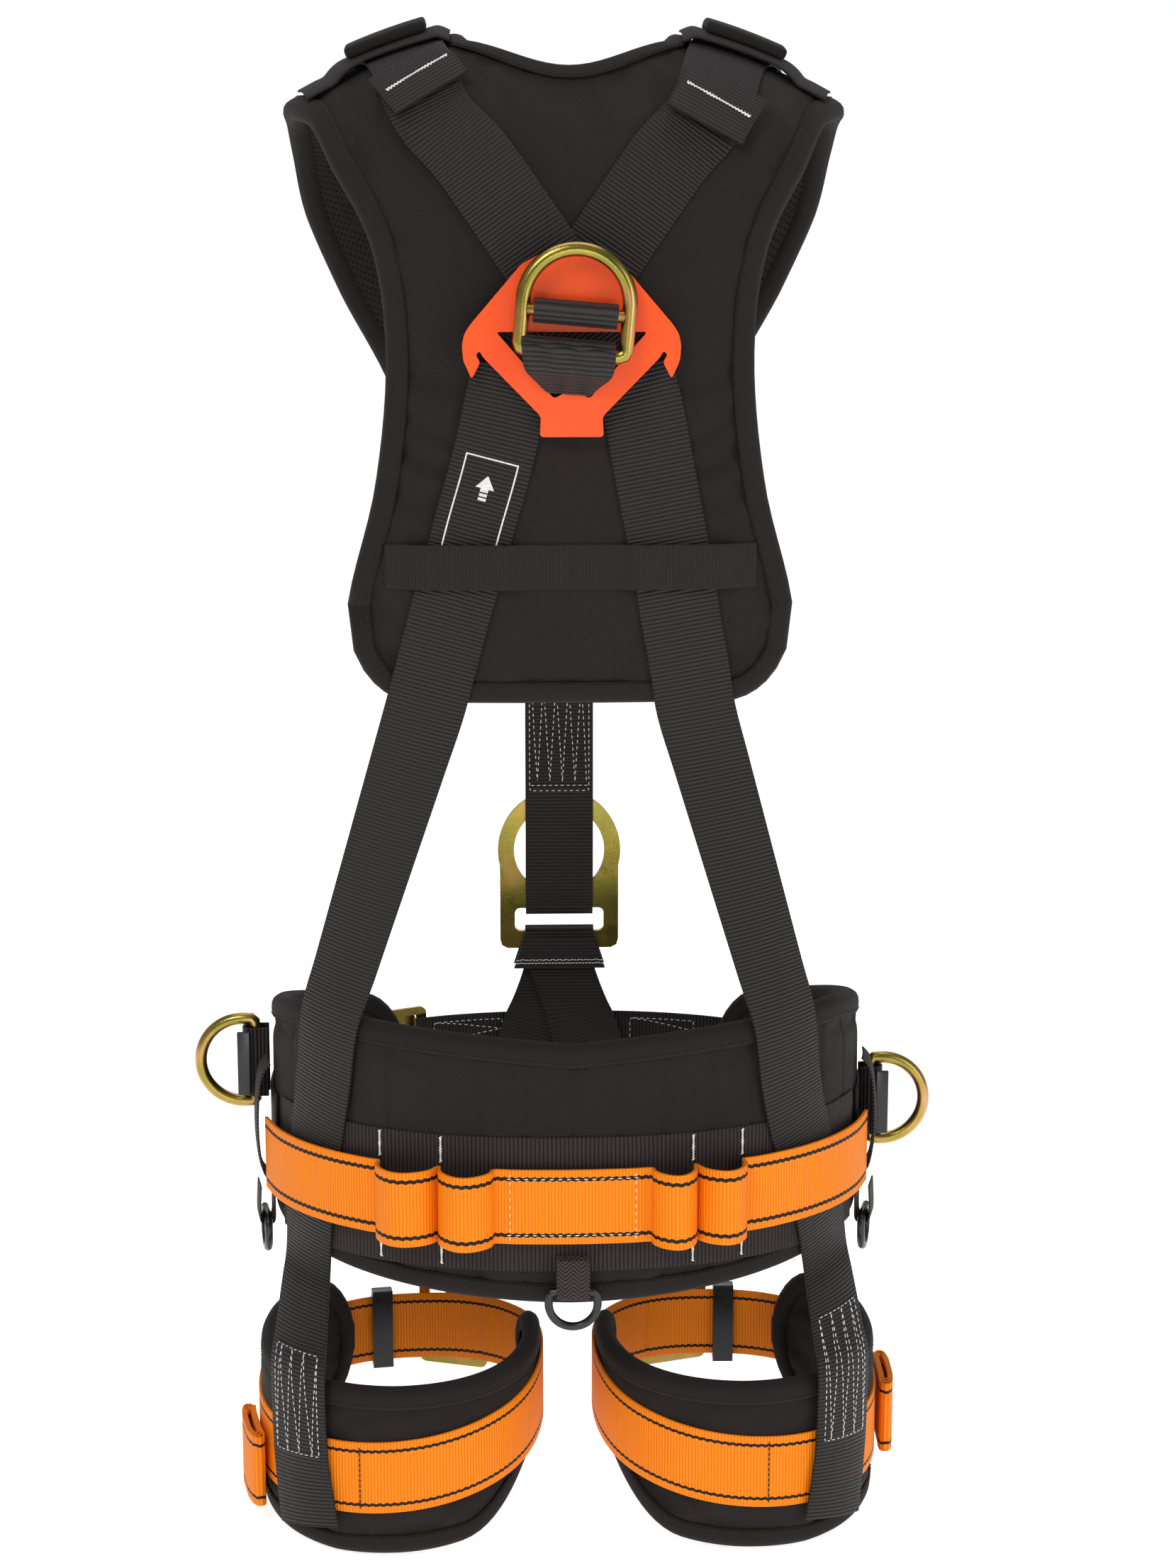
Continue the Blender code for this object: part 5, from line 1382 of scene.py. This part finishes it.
for side, tag in ((-1, "l"), (1, "r")):
    s, z, stand = SIDE_S, SIDE_Z[side], BAR_OFF[side]
    out = waist.normal(s)
    bar_at = waist.at(s, z, stand)
    ring = wire("side_ring_forging_" + tag, d_path(0.0260, 0.0330), 0.0037, zinc,
                basis(mirrored(out, side), (0, 0, 1), mirrored(bar_at, side)),
                body="side_ring_" + tag, replaces=["side_d_ring_" + tag])
    along = Vector((0, 0, 1)).cross(out)
    legs = ((0.0040 - stand, 0.0052), (-0.0040, 0.0052), (0.0, 0.0056))
    hair = [bar_at + out * dist - along * wide for dist, wide in legs]
    hair += [bar_at + out * 0.0056 * math.sin(math.radians(a)) - along * 0.0056 * math.cos(math.radians(a))
             for a in (40, 90, 140)]
    hair += [bar_at + out * dist + along * wide for dist, wide in reversed(legs)]
    rows = [[mirrored(p + Vector((0, 0, u * 0.0215)), side) for u in (-1, 0, 1)] for p in hair]
    core = mirrored(bar_at + out * -0.004, side)
    band_slot(Band("side_ring_loop_" + tag, rows, web_black, WEB_T, lambda p: Vector((core.x, core.y, p.z)),
                   ["side_ring_web_" + tag]))
    rows = [[mirrored(waist.at(0.2290 + u * 0.0120, h, off), side) for u in (-1, 0, 1)] for h, off in TAPE_LINE]
    band_slot(Band("side_herringbone_tape_" + tag, rows, herring, 0.0012, axis_inside, ["side_tape_" + tag]))
    bm = bmesh.new()
    bmesh.ops.create_cube(bm, size=1.0)
    bmesh.ops.scale(bm, vec=(0.0080, 0.0400, 0.0022), verts=bm.verts)
    bmesh.ops.bevel(bm, geom=bm.edges, offset=0.0008, segments=3, profile=0.5, affect="EDGES")
    at = mirrored(bar_at + out * 0.006 - along * 0.0089, side)
    bmesh.ops.transform(bm, matrix=basis(mirrored(out, side), (0, 0, 1), at), verts=bm.verts)
    name = "side_stiffener_strip_" + tag
    place(mesh_of(name, bm), name, black_plastic, "harness", ["side_stiffener_" + tag])

for name, s, z, side in (("back", 0.0, -0.0560, 1), ("l", 0.226, -0.0480, -1), ("r", 0.216, -0.0480, 1)):
    at = mirrored(waist.at(s, z, 0.0075), side)
    tangent = Vector((0, 0, 1)).cross(mirrored(waist.normal(s), side))
    ring = wire("gear_ring_moulding_" + name, d_path(0.0140, 0.0210, 28), 0.0024, black_plastic,
                basis((0, 0, -1), tangent, at), body="gear_ring_" + name + "_body",
                 replaces=["gear_ring_" + name])
    path = [(0.0035, 0.0200), (0.0035, 0.0060)]
    path += [(0.0075 - 0.0040 * math.cos(math.radians(a)), -0.0040 * math.sin(math.radians(a)))
             for a in (20, 60, 90, 120, 160)]
    path += [(0.0115, 0.0060), (0.0107, 0.0200)]
    rows = [[mirrored(waist.at(s, z + dz, off), side) + tangent * (u * 0.0095) for u in (-1, 0, 1)]
            for off, dz in path]
    core = at + Vector((0, 0, 0.008))
    band_slot(Band("gear_ring_tape_" + name, rows, herring, 0.0010,
                   lambda p: core + (p - core).project(tangent),
                   ["gear_tape_" + name]))

# %% [markdown]
# ## Leg webs

# %% legs
web_places = [lerp(WEB_START, WEB_END, k / 42) for k in range(43)]
for side, tag in ((-1, "l"), (1, "r")):
    core = leg_inside(side)
    rows = web_round(leg, [(s, web_z(s), 0.0012) for s in web_places], side)
    seam = band_slot(Band("leg_loop_web_" + tag, rows, web_orange, WEB_T, core, ["leg_web_" + tag]))
    s_buckle = leg.half + 0.029
    frame_plate("leg_buckle_plate_" + tag, "leg_buckle_" + tag, rounded(0.0230, 0.0285, 0.0045),
                [rounded(0.0055, 0.0235, 0.002, 4, x) for x in (0.0105, -0.0105)], 0.0026, zinc,
                facing(leg, s_buckle, web_z(s_buckle), 0.0070, side))
    s_keep = KEEPER_AT[side]
    at = mirrored(leg.at(s_keep, web_z(s_keep), 0.0021), side)
    frame_plate("leg_keeper_moulding_" + tag, "leg_keeper_" + tag, rounded(0.0262, 0.0048, 0.0012),
                [rounded(0.0240, 0.0026, 0.0006)], 0.0130, black_plastic,
                basis((0, 0, 1), mirrored(leg.normal(s_keep), side), at), 0.0006,
                "keeper_" + tag)
    mark = seam.length[-1] * ((0.022 if side < 0 else 0.013) - WEB_START) / (WEB_END - WEB_START)
    stitches("leg_loop_stitching_" + tag, [lines(seam, [(-0.0185, mark), (0.0185, mark)]),
                                           lines(seam, [(-0.0185, 0.070), (0.0185, 0.070)])],
             thread_black, 0.0028, 0.0004, 0.0005)
    coil = []
    s_roll, drop = ROLL_AT[side]
    for k in range(64):
        turn = 2 * math.pi * k / 22
        grow = k / 63
        thin, wide = lerp(0.0008, 0.0036, grow), lerp(0.0130, 0.0225, grow)
        c, d = math.cos(turn), math.sin(turn)
        coil.append((s_roll + wide * math.copysign(abs(c) ** 0.45, c),
                     ROLL_OFF + thin * math.copysign(abs(d) ** 0.7, d)))
    rows = web_round(leg, [(s, web_z(s) + drop, off) for s, off in coil], side)
    band_slot(Band("leg_web_roll_" + tag, rows, web_orange, 0.0013,
                   lambda p: mirrored(leg.at(s_roll, p.z, ROLL_OFF), side), ["leg_web_end_" + tag], along=1))
    path = [((0.0330, 0.1345, -0.0235), 0.0150), ((0.0310, 0.1200, -0.0450), 0.0150),
            ((0.0270, 0.0850, -0.0850), 0.0150), ((0.0200, 0.0450, -0.1180), 0.0150)]
    rows = [[Vector((side * (c[0] + u * w), c[1], c[2])) for u in (-1, 0, 1)] for c, w in path]
    band_slot(Band("leg_riser_web_" + tag, rows, web_black, WEB_T, lambda p: Vector((p.x, 0.0, 0.05)),
                   ["leg_riser_" + tag], along=6))

# %% [markdown]
# ## Studio
# A pale floor under an even white sky, large soft lights, and a camera a little above the harness,
# behind the wearer.

# %% studio
paper, tree, shader = new_material("studio_paper", 0.9)
shader.inputs["Base Color"].default_value = linear("F4F4F3")
shader.inputs["Emission Color"].default_value = linear("FFFFFF")
shader.inputs["Emission Strength"].default_value = 0.78
bpy.ops.mesh.primitive_plane_add(size=12.0, location=(0.0, 0.0, cad_size[0][2] - 0.001))
floor = bpy.context.object
floor.name = "studio_floor"
floor.data.materials.append(paper)


def softbox(name, at, target, size, power):
    light = bpy.data.lights.new(name, "AREA")
    light.shape = "RECTANGLE"
    light.size, light.size_y = size
    light.energy = power
    obj = bpy.data.objects.new(name, light)
    bpy.context.scene.collection.objects.link(obj)
    obj.location = at
    obj.rotation_euler = (Vector(target) - Vector(at)).to_track_quat("-Z", "Y").to_euler()
    obj.visible_camera = False


softbox("key_light", (-0.9, -1.7, 1.9), (0, 0, 0.25), (0.9, 0.9), 21)
softbox("fill_light", (1.6, -1.5, 0.7), (0, 0, 0.2), (0.8, 1.6), 12)
softbox("top_light", (0.0, 0.3, 2.3), (0, 0, 0.2), (1.8, 1.2), 11)
softbox("low_light", (0.0, -2.1, 0.05), (0, 0.1, -0.17), (0.7, 0.4), 4)
softbox("front_light", (-0.1, 1.5, 1.0), (0, 0.1, 0.2), (1.2, 1.0), 5)
world = bpy.data.worlds.new("studio")
world.use_nodes = True
sky = world.node_tree.nodes["Background"]
sky.inputs["Color"].default_value = linear("FAFBFC")
seen = world.node_tree.nodes.new("ShaderNodeLightPath").outputs["Is Camera Ray"]
power = world.node_tree.nodes.new("ShaderNodeMapRange")
world.node_tree.links.new(seen, power.inputs["Value"])
power.inputs["To Min"].default_value, power.inputs["To Max"].default_value = 0.34, 1.05
world.node_tree.links.new(power.outputs["Result"], sky.inputs["Strength"])
bpy.context.scene.world = world
bpy.context.scene.view_settings.view_transform = "Standard"

camera = bpy.data.cameras.new("camera")
camera.sensor_fit, camera.sensor_width = "HORIZONTAL", 36.0
camera.lens = 84.63
camera_obj = bpy.data.objects.new("camera", camera)
bpy.context.scene.collection.objects.link(camera_obj)
down, yaw = math.radians(11.2), math.radians(2.15)
look = Vector((math.sin(yaw) * math.cos(down), math.cos(yaw) * math.cos(down), -math.sin(down)))
camera_obj.location = (-0.0475, -1.629, 0.535)
camera_obj.rotation_euler = look.to_track_quat("-Z", "Y").to_euler()
bpy.context.scene.camera = camera_obj
